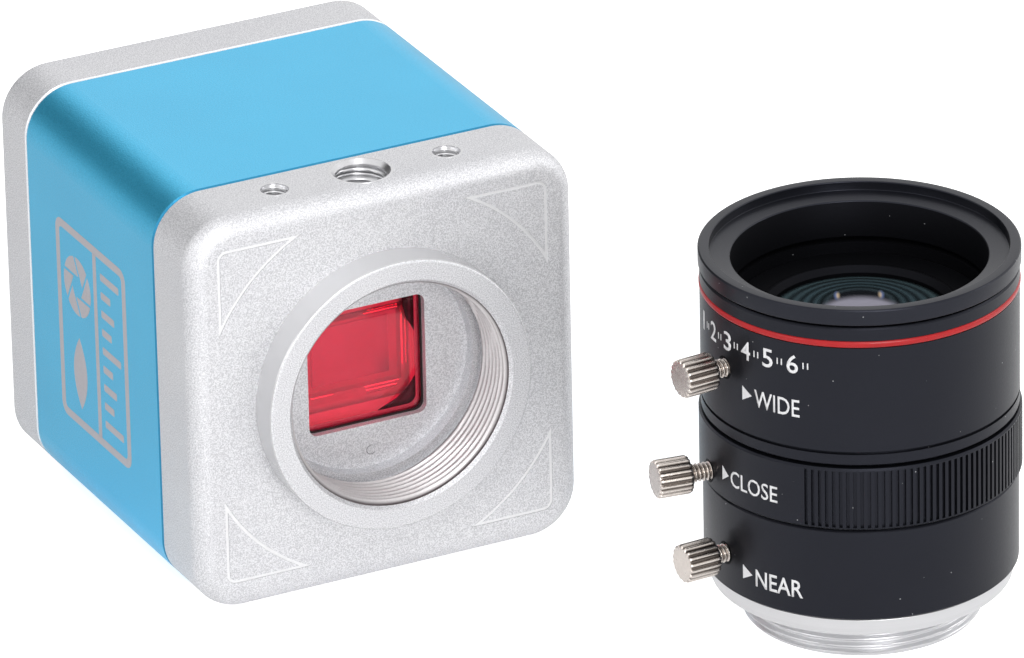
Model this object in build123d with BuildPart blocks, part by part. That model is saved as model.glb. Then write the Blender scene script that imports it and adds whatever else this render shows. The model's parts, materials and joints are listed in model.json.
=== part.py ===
from build123d import *
import math
import os

os.makedirs("parts", exist_ok=True)

# A small industrial USB camera: a square head with a screw mount, and its zoom lens, which stands
# beside the head on its own thread. Millimetres, +Z up. The origin is the middle of the head's
# underside, the head looks along -Y, and every depth in the head is counted back from its front face.

# Head, outside
head_width = 45.0
head_height = 45.0
front_cap_depth = 8.8
sleeve_length = 32.0
rear_cap_depth = 6.6
corner_radius = 5.5
face_edge_radius = 2.0
rear_edge_radius = 0.6
joint_chamfer = 0.25

# Head, mount ring and the well that the lens screws into
ring_radius = 15.3
ring_height = 3.6
ring_edge_radius = 0.3
mount_thread_radius = 12.7
mount_thread_depth = 7.0
mouth_chamfer = 0.35
well_shoulder = 0.9
well_depth = 8.5

# Window in the floor of the well, with its gasket, glass filter and clamp frame
window_side = 13.8
window_corner = 1.0
window_lip = 0.8
gasket_thickness = 0.4
gasket_bar = 0.9
filter_side = 15.4
filter_thickness = 0.8
seat_gap = 0.1
clamp_frame_side = 19.0
clamp_frame_thickness = 0.6
clamp_frame_opening = 13.2

# Image sensor. The focus distance is from the rim of the mount back to the image.
focus_distance = 12.526
package_width = 14.4
package_height = 12.2
package_thickness = 1.7
package_rim = 0.63
die_width = 9.0
die_height = 6.6
die_thickness = 0.35
cavity_width = 11.2
cavity_height = 8.2
cover_glass_width = 12.6
cover_glass_height = 9.6
cover_glass_thickness = 0.6

# Tapped holes in the top of the front cap
top_hole_depth_in = 5.05
tripod_hole_radius = 3.175
tripod_hole_depth = 5.2
side_hole_radius = 1.5
side_hole_depth = 4.6
side_hole_spacing = 20.0

# Shallow lines cut in the four corners of the front face
groove_edge = 3.3
groove_arc_radius = 21.4
groove_corner_radius = 1.1
groove_width = 0.35
groove_depth = 0.18

# Case parts
sleeve_wall = 2.0
boss_radius = 3.9
spigot_length = 2.5
spigot_gap = 0.1
spigot_wall = 1.9
cap_cavity_wall = 6.0
rear_wall = 2.4
case_screw_radius = 1.25
case_screw_gap = 0.05
case_hole_gap = 0.2
case_screw_grip = 5.0
case_head_radius = 2.25
case_head_height = 1.5
case_head_recess = 1.7
case_socket_across = 2.0
case_socket_depth = 0.8

# Boards
board_gap = 0.3
board_thickness = 1.2
boss_clearance = 0.5
stack_hole_edge = 2.4
stack_hole_from_case_screw = 9.0
post_radius = 2.2
spacer_radius = 2.0
front_spacer_length = 8.0
stack_screw_radius = 0.95
stack_screw_grip = 2.4
stack_head_radius = 1.8
stack_head_height = 1.2
usb_height = 9.4
usb_recess = 0.8
usb_width = 8.94
usb_thickness = 3.26
usb_skin = 0.3
usb_tongue_width = 6.6
usb_tongue_thickness = 0.7
usb_tongue_recess = 1.2
usb_cut_gap = 0.25
lamp_radius = 0.95
lamp_x = 9.5
lamp_gap = 0.08
processor_side = 14.0
processor_thickness = 1.4
memory_length = 11.0
memory_width = 8.0
memory_thickness = 1.0
memory_x = 6.5
memory_edge = 7.2
processor_edge = 15.2
interface_chip_side = 7.0
interface_chip_thickness = 0.9
interface_chip_x = -9.5
header_length = 20.0
header_width = 4.0
header_edge = 3.7

# Lens, where it stands and the radii of its rings
lens_x = 40.2
lens_y = -53.95
bezel_radius = 16.8
zoom_radius = 16.65
iris_radius = 16.9
focus_radius = 16.55
ring_bore = 14.6
turning_gap = 0.08
cut_margin = 1.0

# Lens, the height of each ring and the gap below it, from the thread that it stands on upwards
thread_length = 4.1
flange_length = 2.0
focus_gap = 0.1
focus_length = 10.3
iris_gap = 0.25
iris_length = 7.00
zoom_gap = 0.25
zoom_length = 15.65
bezel_gap = 0.3
bezel_length = 1.8
accent_height = 0.8
accent_drop = 1.45

# Lens mount
thread_chamfer = 0.35
thread_relief_radius = 12.1
thread_relief_height = 0.6
flange_radius_low = 15.9
flange_radius_high = 16.2
flange_chamfer = 0.35
guide_bore = 10.9
guide_radius = 12.0
guide_length = 9.5
mount_spigot_length = 3.4

# Main barrel
barrel_bore = 13.2
barrel_drop = 3.75
lock_groove_radius = 13.75
lock_groove_height = 2.8
ledge_radius = 12.7
ledge_height = 0.8

# Zoom and focus: each ring turns, and its helical groove slides a lens group by this many
# millimetres for each radian. The pins run in straight slots in the barrel.
zoom_turn = 35.0
zoom_lead = 1.6
focus_turn = 40.0
focus_lead = 1.7
pin_radius = 0.5
pin_gap = 0.08
pin_tip_radius = 15.2
cam_groove_radius = 15.45
cam_end = 4.0
pin_count = 3
zoom_pin_height = 1.9
focus_pin_height = 11.8
pin_root = 1.0

# Front group
front_cell_length = 8.0
front_cell_drop = 7.15
front_element_radius = 10.4
front_element_edge = 1.6
front_element_sag = 1.5
front_element_back_sag = 0.6
front_retainer_height = 1.0
second_element_radius = 8.4
second_element_edge = 2.4
second_element_sag = 0.9
element_spacer_height = 2.0
element_gap = 0.05
cell_lip = 0.9
retainer_cone = 0.6

# Rear group
rear_cell_low = 2.0
rear_cell_length = 13.0
rear_element_radius = 8.2
rear_element_edge = 2.6
rear_element_sag = 0.9
rear_spacer_height = 1.4
rear_retainer_height = 1.2

# Bezel and its mouth
bezel_lip_radius = 15.6
bezel_lip_depth = 1.0
mouth_radius = 13.4
mouth_dish = 0.25
bezel_thread_radius = 15.2
bezel_seat_drop = 3.25
bezel_low_gap = 0.1
bezel_edge = 0.2
bezel_neck_gap = 0.08
ring_edge_chamfer = 0.2

# Zoom ring details
zoom_band_height = 1.3
zoom_groove_width = 0.35
zoom_groove_depth = 0.35
accent_seat_radius = 15.95
accent_stand = 0.05

# Iris ring ribs: they leave a plain sector around the lock screw
rib_pitch_degrees = 2.5
rib_count = 107
rib_start = 222.2
rib_depth = 0.35
rib_gap_width = 0.36
iris_edge_land = 0.3

# Iris mechanism
iris_turn = 25.0
blade_count = 6
blade_ratio = 0.56
blade_thickness = 0.14
blade_pitch = 0.24
blade_inner_radius = 7.0
blade_outer_radius = 10.8
blade_sweep_degrees = 96.0
pivot_circle = 11.6
drive_pin_angle = 12.0
blade_pin_radius = 0.3
blade_pin_gap = 0.08
blade_tab_radius = 0.7
blade_tab_root_length = 1.0
iris_base_rise = 1.25
iris_base_thickness = 0.8
blade_first_gap = 0.1
plate_gap = 0.26
plate_thickness = 1.1
plate_bore = 8.2
slot_gap = 0.12
iris_retainer_height = 0.7
iris_retainer_bore = 11.0
iris_pin_radius = 0.4
iris_pin_inner = 12.35
iris_pin_outer = 15.6

# Lock screws: knurled heads on short threaded shanks, one in each ring
screw_head_radius = 2.05
screw_head_length = 3.75
screw_shank_radius = 1.0
screw_shank_length = 3.6
screw_hole_gap = 0.05
screw_rib_count = 16
screw_rib_depth = 0.16
screw_head_chamfer = 0.25
zoom_screw_angle = 184.4
zoom_screw_height = 7.8
zoom_screw_reach = 1.6
iris_screw_angle = 172.5
iris_screw_height = 1.8
iris_screw_reach = 2.25
focus_screw_angle = 182.9
focus_screw_height = 4.1
focus_screw_reach = 1.5

# Places worked out from the sizes above
head_depth = front_cap_depth + sleeve_length + rear_cap_depth
face_y = -head_depth / 2
axis_z = head_height / 2
front_joint = front_cap_depth
rear_joint = front_cap_depth + sleeve_length
spigot_width = head_width - 2 * (sleeve_wall + spigot_gap)
spigot_height = head_height - 2 * (sleeve_wall + spigot_gap)
case_screw_x = head_width / 2 - corner_radius
case_screw_z = head_height / 2 - corner_radius
board_width = spigot_width - 2 * (spigot_wall + board_gap)
board_height = spigot_height - 2 * (spigot_wall + board_gap)
stack_hole_x = board_width / 2 - stack_hole_edge
stack_hole_z = case_screw_z - stack_hole_from_case_screw
memory_z = memory_edge - board_height / 2
processor_z = board_height / 2 - processor_edge
header_z = board_height / 2 - header_edge
cavity_side_x = head_width - 2 * cap_cavity_wall
cavity_side_z = head_height - 2 * cap_cavity_wall
well_floor = well_depth - ring_height
filter_seat = well_floor + window_lip
gasket_back = filter_seat + gasket_thickness
filter_back = gasket_back + filter_thickness
web_back = filter_back
image_depth = focus_distance - ring_height
package_front = image_depth - package_rim
sensor_board_front = package_front + package_thickness
sensor_board_back = sensor_board_front + board_thickness
processor_board_front = sensor_board_back + front_spacer_length
processor_board_back = processor_board_front + board_thickness
usb_back = head_depth - usb_recess
interface_board_back = usb_back - usb_height
interface_board_front = interface_board_back - board_thickness
rear_spacer_length = interface_board_front - processor_board_back
stack_screw_length = interface_board_back - sensor_board_front + stack_screw_grip
case_screw_seat = head_depth - case_head_recess
flange_low = thread_length
flange_high = flange_low + flange_length
focus_low = flange_high + focus_gap
focus_high = focus_low + focus_length
iris_low = focus_high + iris_gap
iris_high = iris_low + iris_length
zoom_low = iris_high + zoom_gap
zoom_high = zoom_low + zoom_length
zoom_groove_low = zoom_low + zoom_band_height
bezel_low = zoom_high + bezel_gap
lens_height = bezel_low + bezel_length
accent_high = zoom_high - accent_drop
accent_low = accent_high - accent_height
bezel_seat_z = zoom_high - bezel_seat_drop
barrel_high = zoom_high - barrel_drop
mount_spigot_high = flange_high + mount_spigot_length
guide_high = flange_high + guide_length
front_cell_high = lens_height - front_cell_drop
front_cell_low = front_cell_high - front_cell_length
rear_cell_high = rear_cell_low + rear_cell_length
zoom_pin_z = front_cell_low + zoom_pin_height
focus_pin_z = rear_cell_low + focus_pin_height
zoom_screw_z = zoom_low + zoom_screw_height
iris_screw_z = iris_low + iris_screw_height
focus_screw_z = focus_low + focus_screw_height
iris_base_z = iris_low + iris_base_rise
barrel_radius = ring_bore - turning_gap
cell_radius = barrel_bore - turning_gap
rear_cell_radius = guide_bore - turning_gap
blade_low = iris_base_z + iris_base_thickness + blade_first_gap
blades_high = blade_low + (blade_count - 1) * blade_pitch + blade_thickness
plate_low = blades_high + plate_gap
plate_high = plate_low + plate_thickness
iris_pin_z = plate_low + plate_thickness / 2
iris_retainer_low = plate_high + turning_gap
blade_rest = iris_turn * blade_ratio


def across(depth):
    """Sketch plane square to the optical axis of the head, at a depth behind its front face.
    X is to the right and Y is up. A positive extrusion goes towards the front."""
    return Plane(origin=(0, face_y + depth, axis_z), x_dir=(1, 0, 0), z_dir=(0, -1, 0))


def lens_level(z):
    """Level sketch plane, centred on the lens axis."""
    return Plane(origin=(lens_x, lens_y, z))


# Upright plane through the lens axis: x is the radius and y is the height. Turned pieces are drawn on it.
lens_section = Plane(origin=(lens_x, lens_y, 0), x_dir=(1, 0, 0), z_dir=(0, -1, 0))
lens_axis = Axis((lens_x, lens_y, 0), (0, 0, 1))


def outward(angle, z, radius):
    """Plane on the lens whose normal points straight out at an angle, at a height and a radius."""
    turn = math.radians(angle)
    out = Vector(math.cos(turn), math.sin(turn), 0)
    return Plane(origin=Vector(lens_x, lens_y, z) + out * radius, x_dir=(-out.Y, out.X, 0), z_dir=out)


def pin_angles(screw_angle):
    """The guide pins are spread evenly, and the lock screw is midway between two of them."""
    return [screw_angle + 180 / pin_count + i * 360 / pin_count for i in range(pin_count)]


def cam_path(lead, turn):
    """Centre line of a helical groove, as seen along the outward normal at its middle."""
    steps = [turn * i / 4 for i in range(-4, 5)]
    radius = (ring_bore + cam_groove_radius) / 2
    return [(radius * math.sin(math.radians(s)), -lead * math.radians(s)) for s in steps]


def keep(builder, name):
    builder.part.label = name
    export_step(builder.part, f"parts/{name}.step")


# Line round one corner of the face: two straight sides, and an arc that follows the mount
groove_x = head_width / 2 - groove_edge
groove_z = head_height / 2 - groove_edge
groove_end_x = math.sqrt(groove_arc_radius**2 - groove_z**2)
groove_end_z = math.sqrt(groove_arc_radius**2 - groove_x**2)
groove_aim = math.atan2(groove_end_z + groove_z, groove_end_x + groove_x)
groove_middle = (groove_arc_radius * math.cos(groove_aim), groove_arc_radius * math.sin(groove_aim))
with BuildSketch() as corner_line:
    with BuildLine():
        Polyline((groove_end_x, groove_z), (groove_x, groove_z), (groove_x, groove_end_z))
        ThreePointArc((groove_x, groove_end_z), groove_middle, (groove_end_x, groove_z))
    make_face()
    fillet(corner_line.vertices().sort_by(Axis((0, 0, 0), (1, 1, 0)))[-1], groove_corner_radius)
    offset(amount=-groove_width, kind=Kind.INTERSECTION, mode=Mode.SUBTRACT)

# Front cap: one casting with the mount ring, the well and the tapped holes in its top
with BuildPart() as front_shell:
    with BuildSketch(across(front_joint)):
        RectangleRounded(head_width, head_height, corner_radius)
    extrude(amount=front_cap_depth)
    fillet(front_shell.faces().sort_by(Axis.Y)[0].edges(), face_edge_radius)
    chamfer(front_shell.faces().sort_by(Axis.Y)[-1].edges(), joint_chamfer)
    with BuildSketch(across(0)):
        Circle(ring_radius)
    extrude(amount=ring_height)
    fillet(front_shell.faces().sort_by(Axis.Y)[0].edges(), ring_edge_radius)
    with BuildSketch(across(-ring_height)):
        Circle(mount_thread_radius)
    extrude(amount=-mount_thread_depth, mode=Mode.SUBTRACT)
    with BuildSketch(across(-ring_height)):
        Circle(mount_thread_radius - well_shoulder)
    extrude(amount=-well_depth, mode=Mode.SUBTRACT)
    rim = front_shell.faces().sort_by(Axis.Y)[0]
    chamfer(rim.edges().sort_by(SortBy.LENGTH)[0], mouth_chamfer)
    # Shallow pocket behind, posts for the boards, and the spigot that centres the sleeve
    with BuildSketch(across(front_joint)):
        Rectangle(cavity_side_x, cavity_side_z)
    extrude(amount=front_joint - web_back, mode=Mode.SUBTRACT)
    with BuildSketch(across(sensor_board_front)):
        with GridLocations(2 * stack_hole_x, 2 * stack_hole_z, 2, 2):
            Circle(post_radius)
    extrude(amount=sensor_board_front - web_back)
    with BuildSketch(across(front_joint + spigot_length)):
        RectangleRounded(spigot_width, spigot_height, corner_radius - sleeve_wall - spigot_gap)
        Rectangle(spigot_width - 2 * spigot_wall, spigot_height - 2 * spigot_wall, mode=Mode.SUBTRACT)
        with GridLocations(2 * case_screw_x, 2 * case_screw_z, 2, 2):
            Circle(boss_radius + boss_clearance, mode=Mode.SUBTRACT)
    extrude(amount=spigot_length)
    # Window, and the pocket for its gasket and filter
    with BuildSketch(across(well_floor)):
        RectangleRounded(window_side, window_side, window_corner)
    extrude(amount=-window_lip, mode=Mode.SUBTRACT)
    with BuildSketch(across(filter_seat)):
        Rectangle(filter_side + 2 * seat_gap, filter_side + 2 * seat_gap)
    extrude(amount=-(web_back - filter_seat), mode=Mode.SUBTRACT)
    # Screw holes from behind
    with BuildSketch(across(sensor_board_front)):
        with GridLocations(2 * stack_hole_x, 2 * stack_hole_z, 2, 2):
            Circle(stack_screw_radius + case_screw_gap)
    extrude(amount=stack_screw_grip + seat_gap, mode=Mode.SUBTRACT)
    with BuildSketch(across(front_joint)):
        with GridLocations(2 * case_screw_x, 2 * case_screw_z, 2, 2):
            Circle(case_screw_radius + case_screw_gap)
    extrude(amount=case_screw_grip + seat_gap, mode=Mode.SUBTRACT)
    # Tapped holes in the top
    top_row = Plane(origin=(0, face_y + top_hole_depth_in, head_height))
    with BuildSketch(top_row):
        Circle(tripod_hole_radius)
    extrude(amount=-tripod_hole_depth, mode=Mode.SUBTRACT)
    with BuildSketch(top_row):
        with GridLocations(side_hole_spacing, 1, 2, 1):
            Circle(side_hole_radius)
    extrude(amount=-side_hole_depth, mode=Mode.SUBTRACT)
    # Corner lines on the face
    with BuildSketch(across(0)):
        add(corner_line.sketch)
        mirror(about=Plane.YZ)
        mirror(about=Plane.XZ)
    extrude(amount=-groove_depth, mode=Mode.SUBTRACT)
keep(front_shell, "front_shell")

# Sleeve: extruded tube with a screw boss in each corner
with BuildPart() as sleeve:
    with BuildSketch(across(rear_joint)):
        RectangleRounded(head_width, head_height, corner_radius)
    extrude(amount=sleeve_length)
    for end in (0, -1):
        chamfer(sleeve.faces().sort_by(Axis.Y)[end].edges(), joint_chamfer)
    with BuildSketch(across(rear_joint)):
        RectangleRounded(head_width - 2 * sleeve_wall, head_height - 2 * sleeve_wall,
                         corner_radius - sleeve_wall)
        with GridLocations(2 * case_screw_x, 2 * case_screw_z, 2, 2):
            Circle(boss_radius, mode=Mode.SUBTRACT)
            Circle(case_screw_radius + case_hole_gap)
    extrude(amount=sleeve_length, mode=Mode.SUBTRACT)
keep(sleeve, "sleeve")

# Rear cap: closes the sleeve, with the socket opening, the lamp hole and four screw recesses
with BuildPart() as rear_cover:
    with BuildSketch(across(head_depth)):
        RectangleRounded(head_width, head_height, corner_radius)
    extrude(amount=rear_cap_depth)
    fillet(rear_cover.faces().sort_by(Axis.Y)[-1].edges(), rear_edge_radius)
    chamfer(rear_cover.faces().sort_by(Axis.Y)[0].edges(), joint_chamfer)
    with BuildSketch(across(rear_joint)):
        Rectangle(cavity_side_x, cavity_side_z)
    extrude(amount=-(rear_cap_depth - rear_wall), mode=Mode.SUBTRACT)
    with BuildSketch(across(rear_joint)):
        RectangleRounded(spigot_width, spigot_height, corner_radius - sleeve_wall - spigot_gap)
        Rectangle(spigot_width - 2 * spigot_wall, spigot_height - 2 * spigot_wall, mode=Mode.SUBTRACT)
        with GridLocations(2 * case_screw_x, 2 * case_screw_z, 2, 2):
            Circle(boss_radius + boss_clearance, mode=Mode.SUBTRACT)
    extrude(amount=spigot_length)
    with BuildSketch(across(head_depth)):
        SlotOverall(usb_width + 2 * usb_cut_gap, usb_thickness + 2 * usb_cut_gap)
        with Locations((lamp_x, 0)):
            Circle(lamp_radius + lamp_gap)
    extrude(amount=rear_wall, mode=Mode.SUBTRACT)
    with BuildSketch(across(head_depth)):
        with GridLocations(2 * case_screw_x, 2 * case_screw_z, 2, 2):
            Circle(case_screw_radius + case_hole_gap)
    extrude(amount=rear_cap_depth, mode=Mode.SUBTRACT)
    with BuildSketch(across(head_depth)):
        with GridLocations(2 * case_screw_x, 2 * case_screw_z, 2, 2):
            Circle(case_head_radius + case_hole_gap)
    extrude(amount=case_head_recess, mode=Mode.SUBTRACT)
keep(rear_cover, "rear_cover")

# Four long screws hold the rear cap, the sleeve and the front cap together
with BuildPart() as case_screws:
    with BuildSketch(across(case_screw_seat)):
        with GridLocations(2 * case_screw_x, 2 * case_screw_z, 2, 2):
            Circle(case_screw_radius)
    extrude(amount=case_screw_seat - front_joint + case_screw_grip)
    with BuildSketch(across(case_screw_seat + case_head_height)):
        with GridLocations(2 * case_screw_x, 2 * case_screw_z, 2, 2):
            Circle(case_head_radius)
    extrude(amount=case_head_height)
    with BuildSketch(across(case_screw_seat + case_head_height)):
        with GridLocations(2 * case_screw_x, 2 * case_screw_z, 2, 2):
            RegularPolygon(case_socket_across / 2, 6, major_radius=False)
    extrude(amount=case_socket_depth, mode=Mode.SUBTRACT)
keep(case_screws, "case_screws")

# Rubber gasket behind the window lip
with BuildPart() as filter_gasket:
    with BuildSketch(across(gasket_back)):
        Rectangle(filter_side, filter_side)
        RectangleRounded(filter_side - 2 * gasket_bar, filter_side - 2 * gasket_bar, window_corner,
                         mode=Mode.SUBTRACT)
    extrude(amount=gasket_thickness)
keep(filter_gasket, "filter_gasket")

# Red-tinted glass filter in front of the sensor
with BuildPart() as window_filter:
    with BuildSketch(across(filter_back)):
        Rectangle(filter_side, filter_side)
    extrude(amount=filter_thickness)
keep(window_filter, "window_filter")

# Thin frame that clamps the filter from behind
with BuildPart() as filter_frame:
    with BuildSketch(across(web_back + clamp_frame_thickness)):
        Rectangle(clamp_frame_side, clamp_frame_side)
        RectangleRounded(clamp_frame_opening, clamp_frame_opening, window_corner, mode=Mode.SUBTRACT)
    extrude(amount=clamp_frame_thickness)
keep(filter_frame, "filter_frame")

# Image sensor: ceramic package with a cavity, the chip in it, and its cover glass
with BuildPart() as sensor_package:
    with BuildSketch(across(sensor_board_front)):
        Rectangle(package_width, package_height)
    extrude(amount=package_thickness)
    with BuildSketch(across(package_front)):
        Rectangle(cavity_width, cavity_height)
    extrude(amount=-(package_rim + die_thickness), mode=Mode.SUBTRACT)
keep(sensor_package, "sensor_package")

with BuildPart() as sensor_chip:
    with BuildSketch(across(image_depth + die_thickness)):
        Rectangle(die_width, die_height)
    extrude(amount=die_thickness)
keep(sensor_chip, "sensor_chip")

with BuildPart() as sensor_glass:
    with BuildSketch(across(package_front)):
        Rectangle(cover_glass_width, cover_glass_height)
    extrude(amount=cover_glass_thickness)
keep(sensor_glass, "sensor_glass")


# Three boards of one outline, with notched corners that clear the screw bosses
for board_name, board_back in (("sensor_board", sensor_board_back), ("processor_board", processor_board_back),
                               ("interface_board", interface_board_back)):
    with BuildPart() as board:
        with BuildSketch(across(board_back)):
            Rectangle(board_width, board_height)
            with GridLocations(2 * case_screw_x, 2 * case_screw_z, 2, 2):
                Circle(boss_radius + boss_clearance, mode=Mode.SUBTRACT)
            with GridLocations(2 * stack_hole_x, 2 * stack_hole_z, 2, 2):
                Circle(stack_screw_radius + case_hole_gap, mode=Mode.SUBTRACT)
        extrude(amount=board_thickness)
    keep(board, board_name)

# Spacers between the boards, four of each length
for spacer_name, spacer_back, spacer_length in (
        ("front_spacers", processor_board_front, front_spacer_length),
        ("rear_spacers", interface_board_front, rear_spacer_length)):
    with BuildPart() as spacers:
        with BuildSketch(across(spacer_back)):
            with GridLocations(2 * stack_hole_x, 2 * stack_hole_z, 2, 2):
                Circle(spacer_radius)
                Circle(stack_screw_radius + case_hole_gap, mode=Mode.SUBTRACT)
        extrude(amount=spacer_length)
    keep(spacers, spacer_name)

# Four screws pass through the whole stack into the posts of the front cap
with BuildPart() as stack_screws:
    with BuildSketch(across(interface_board_back)):
        with GridLocations(2 * stack_hole_x, 2 * stack_hole_z, 2, 2):
            Circle(stack_screw_radius)
    extrude(amount=stack_screw_length)
    with BuildSketch(across(interface_board_back + stack_head_height)):
        with GridLocations(2 * stack_hole_x, 2 * stack_hole_z, 2, 2):
            Circle(stack_head_radius)
    extrude(amount=stack_head_height)
keep(stack_screws, "stack_screws")

# Pin headers that join the boards
for header_name, header_back, header_front, header_side in (
        ("front_board_header", processor_board_front, sensor_board_back, 1),
        ("rear_board_header", interface_board_front, processor_board_back, -1)):
    with BuildPart() as header:
        with BuildSketch(across(header_back)):
            with Locations((0, header_side * header_z)):
                Rectangle(header_length, header_width)
        extrude(amount=header_back - header_front)
    keep(header, header_name)

# Chips: name, place on the board, size, and the depth of the board face that each one sits on
chips = (
    ("processor_chip", (0, processor_z), (processor_side, processor_side), processor_thickness,
     processor_board_back),
    ("memory_chip_left", (-memory_x, memory_z), (memory_length, memory_width), memory_thickness,
     processor_board_front),
    ("memory_chip_right", (memory_x, memory_z), (memory_length, memory_width), memory_thickness,
     processor_board_front),
    ("interface_chip", (interface_chip_x, 0), (interface_chip_side, interface_chip_side),
     interface_chip_thickness, interface_board_back),
)
for chip_name, chip_place, chip_size, chip_thickness, chip_seat in chips:
    on_front = chip_seat == processor_board_front
    with BuildPart() as chip:
        with BuildSketch(across(chip_seat)):
            with Locations(chip_place):
                Rectangle(*chip_size)
        extrude(amount=chip_thickness if on_front else -chip_thickness)
    keep(chip, chip_name)

# USB socket: a folded shell with its tongue, upright on the interface board
with BuildPart() as usb_socket_shell:
    with BuildSketch(across(usb_back)):
        SlotOverall(usb_width, usb_thickness)
    extrude(amount=usb_height)
    with BuildSketch(across(usb_back)):
        SlotOverall(usb_width - 2 * usb_skin, usb_thickness - 2 * usb_skin)
    extrude(amount=usb_height - usb_skin, mode=Mode.SUBTRACT)
keep(usb_socket_shell, "usb_socket_shell")

with BuildPart() as usb_socket_tongue:
    with BuildSketch(across(usb_back - usb_tongue_recess)):
        Rectangle(usb_tongue_width, usb_tongue_thickness)
    extrude(amount=usb_height - usb_skin - usb_tongue_recess)
keep(usb_socket_tongue, "usb_socket_tongue")

# Lamp: a clear rod from the interface board to the back face
with BuildPart() as status_lamp:
    with BuildSketch(across(head_depth)):
        with Locations((lamp_x, 0)):
            Circle(lamp_radius)
    extrude(amount=head_depth - interface_board_back)
keep(status_lamp, "status_lamp")

# Lens mount: thread, flange, and the bore that guides the rear group
with BuildPart() as lens_mount:
    with BuildSketch(lens_section):
        with BuildLine():
            Polyline(
                (guide_bore, 0),
                (mount_thread_radius - thread_chamfer, 0),
                (mount_thread_radius, thread_chamfer),
                (mount_thread_radius, flange_low - thread_relief_height),
                (thread_relief_radius, flange_low - thread_relief_height),
                (thread_relief_radius, flange_low),
                (flange_radius_low - flange_chamfer, flange_low),
                (flange_radius_low, flange_low + flange_chamfer),
                (flange_radius_high, flange_high),
                (cell_radius, flange_high),
                (cell_radius, mount_spigot_high),
                (guide_radius, mount_spigot_high),
                (guide_radius, guide_high),
                (guide_bore, guide_high),
                close=True,
            )
        make_face()
    revolve(axis=lens_axis)
    for angle in pin_angles(focus_screw_angle):
        slot_low = focus_pin_z - focus_lead * math.radians(focus_turn) - pin_radius - 2 * pin_gap
        slot_high = guide_high + cut_margin
        with BuildSketch(outward(angle, (slot_low + slot_high) / 2, guide_bore - cut_margin)):
            Rectangle(2 * (pin_radius + pin_gap), slot_high - slot_low)
        extrude(amount=guide_radius - guide_bore + 2 * cut_margin, mode=Mode.SUBTRACT)
keep(lens_mount, "lens_mount")


def axial_slots(screw_angle, pin_z, lead, turn):
    """Cuts the barrel's straight slots, long enough for the whole travel of the pins."""
    travel = lead * math.radians(turn)
    for angle in pin_angles(screw_angle):
        with BuildSketch(outward(angle, pin_z, barrel_bore - cut_margin)) as slot:
            SlotOverall(2 * (travel + pin_radius + 2 * pin_gap), 2 * (pin_radius + pin_gap), rotation=90)
        extrude(slot.sketch, amount=barrel_radius - barrel_bore + 2 * cut_margin, mode=Mode.SUBTRACT)


# Main barrel: carries the three rings, and everything inside sits in its bore
with BuildPart() as lens_barrel:
    with BuildSketch(lens_section):
        with BuildLine():
            Polyline((barrel_bore, flange_high), (barrel_radius, flange_high), (barrel_radius, barrel_high),
                     (barrel_bore, barrel_high), close=True)
        make_face()
        with Locations(((ledge_radius + barrel_bore) / 2, iris_base_z - ledge_height / 2)):
            Rectangle(barrel_bore - ledge_radius, ledge_height)
        for groove_z in (zoom_screw_z, iris_screw_z, focus_screw_z):
            with Locations(((lock_groove_radius + barrel_radius) / 2, groove_z)):
                Rectangle(barrel_radius - lock_groove_radius, lock_groove_height, mode=Mode.SUBTRACT)
    revolve(axis=lens_axis)
    axial_slots(zoom_screw_angle, zoom_pin_z, zoom_lead, zoom_turn)
    axial_slots(focus_screw_angle, focus_pin_z, focus_lead, focus_turn)
    # Arc slot for the pin that joins the iris ring to the plate inside
    arc_half = iris_turn + math.degrees((iris_pin_radius + 2 * pin_gap) / barrel_bore)
    arc_start = math.radians(iris_screw_angle + 180 - arc_half)
    arc_out = Vector(math.cos(arc_start), math.sin(arc_start), 0)
    with BuildSketch(Plane(origin=(lens_x, lens_y, 0), x_dir=arc_out, z_dir=arc_out.cross(Vector(0, 0, 1)))):
        with Locations(((barrel_bore + barrel_radius) / 2, iris_pin_z)):
            Rectangle(barrel_radius - barrel_bore + cut_margin, 2 * (iris_pin_radius + pin_gap))
    revolve(axis=lens_axis, revolution_arc=2 * arc_half, mode=Mode.SUBTRACT)
keep(lens_barrel, "lens_barrel")


def lock_hole(angle, z):
    """Hole for a lock screw, through the wall of a ring."""
    with BuildSketch(outward(angle, z, ring_bore - cut_margin)) as hole:
        Circle(screw_shank_radius + screw_hole_gap)
    extrude(hole.sketch, amount=iris_radius - ring_bore + 2 * cut_margin, mode=Mode.SUBTRACT)


def cam_cutter(screw_angle, pin_z, lead, turn):
    """Solid that cuts a ring's helical grooves: slanted strips, kept inside the radius of the grooves."""
    with BuildPart() as cutter:
        for angle in pin_angles(screw_angle):
            with BuildSketch(outward(angle, pin_z, ring_bore / 2)):
                with BuildLine():
                    Polyline(*cam_path(lead, turn + cam_end))
                trace(line_width=2 * (pin_radius + pin_gap))
            extrude(amount=cam_groove_radius - ring_bore / 2)
        with BuildSketch(lens_level(0)):
            Circle(cam_groove_radius)
        extrude(amount=lens_height, mode=Mode.INTERSECT)
    return cutter.part


def outer_edges(ring):
    """The two outer edges of a plain ring on the lens."""
    return ring.edges().filter_by(GeomType.CIRCLE).filter_by(lambda edge: edge.radius > ring_bore)


# Focus ring
focus_cutter = cam_cutter(focus_screw_angle, focus_pin_z, focus_lead, focus_turn)
with BuildPart() as focus_ring:
    with BuildSketch(lens_level(focus_low)):
        Circle(focus_radius)
        Circle(ring_bore, mode=Mode.SUBTRACT)
    extrude(amount=focus_high - focus_low)
    chamfer(outer_edges(focus_ring), ring_edge_chamfer)
    lock_hole(focus_screw_angle, focus_screw_z)
    add(focus_cutter, mode=Mode.SUBTRACT)
keep(focus_ring, "focus_ring")

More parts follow.
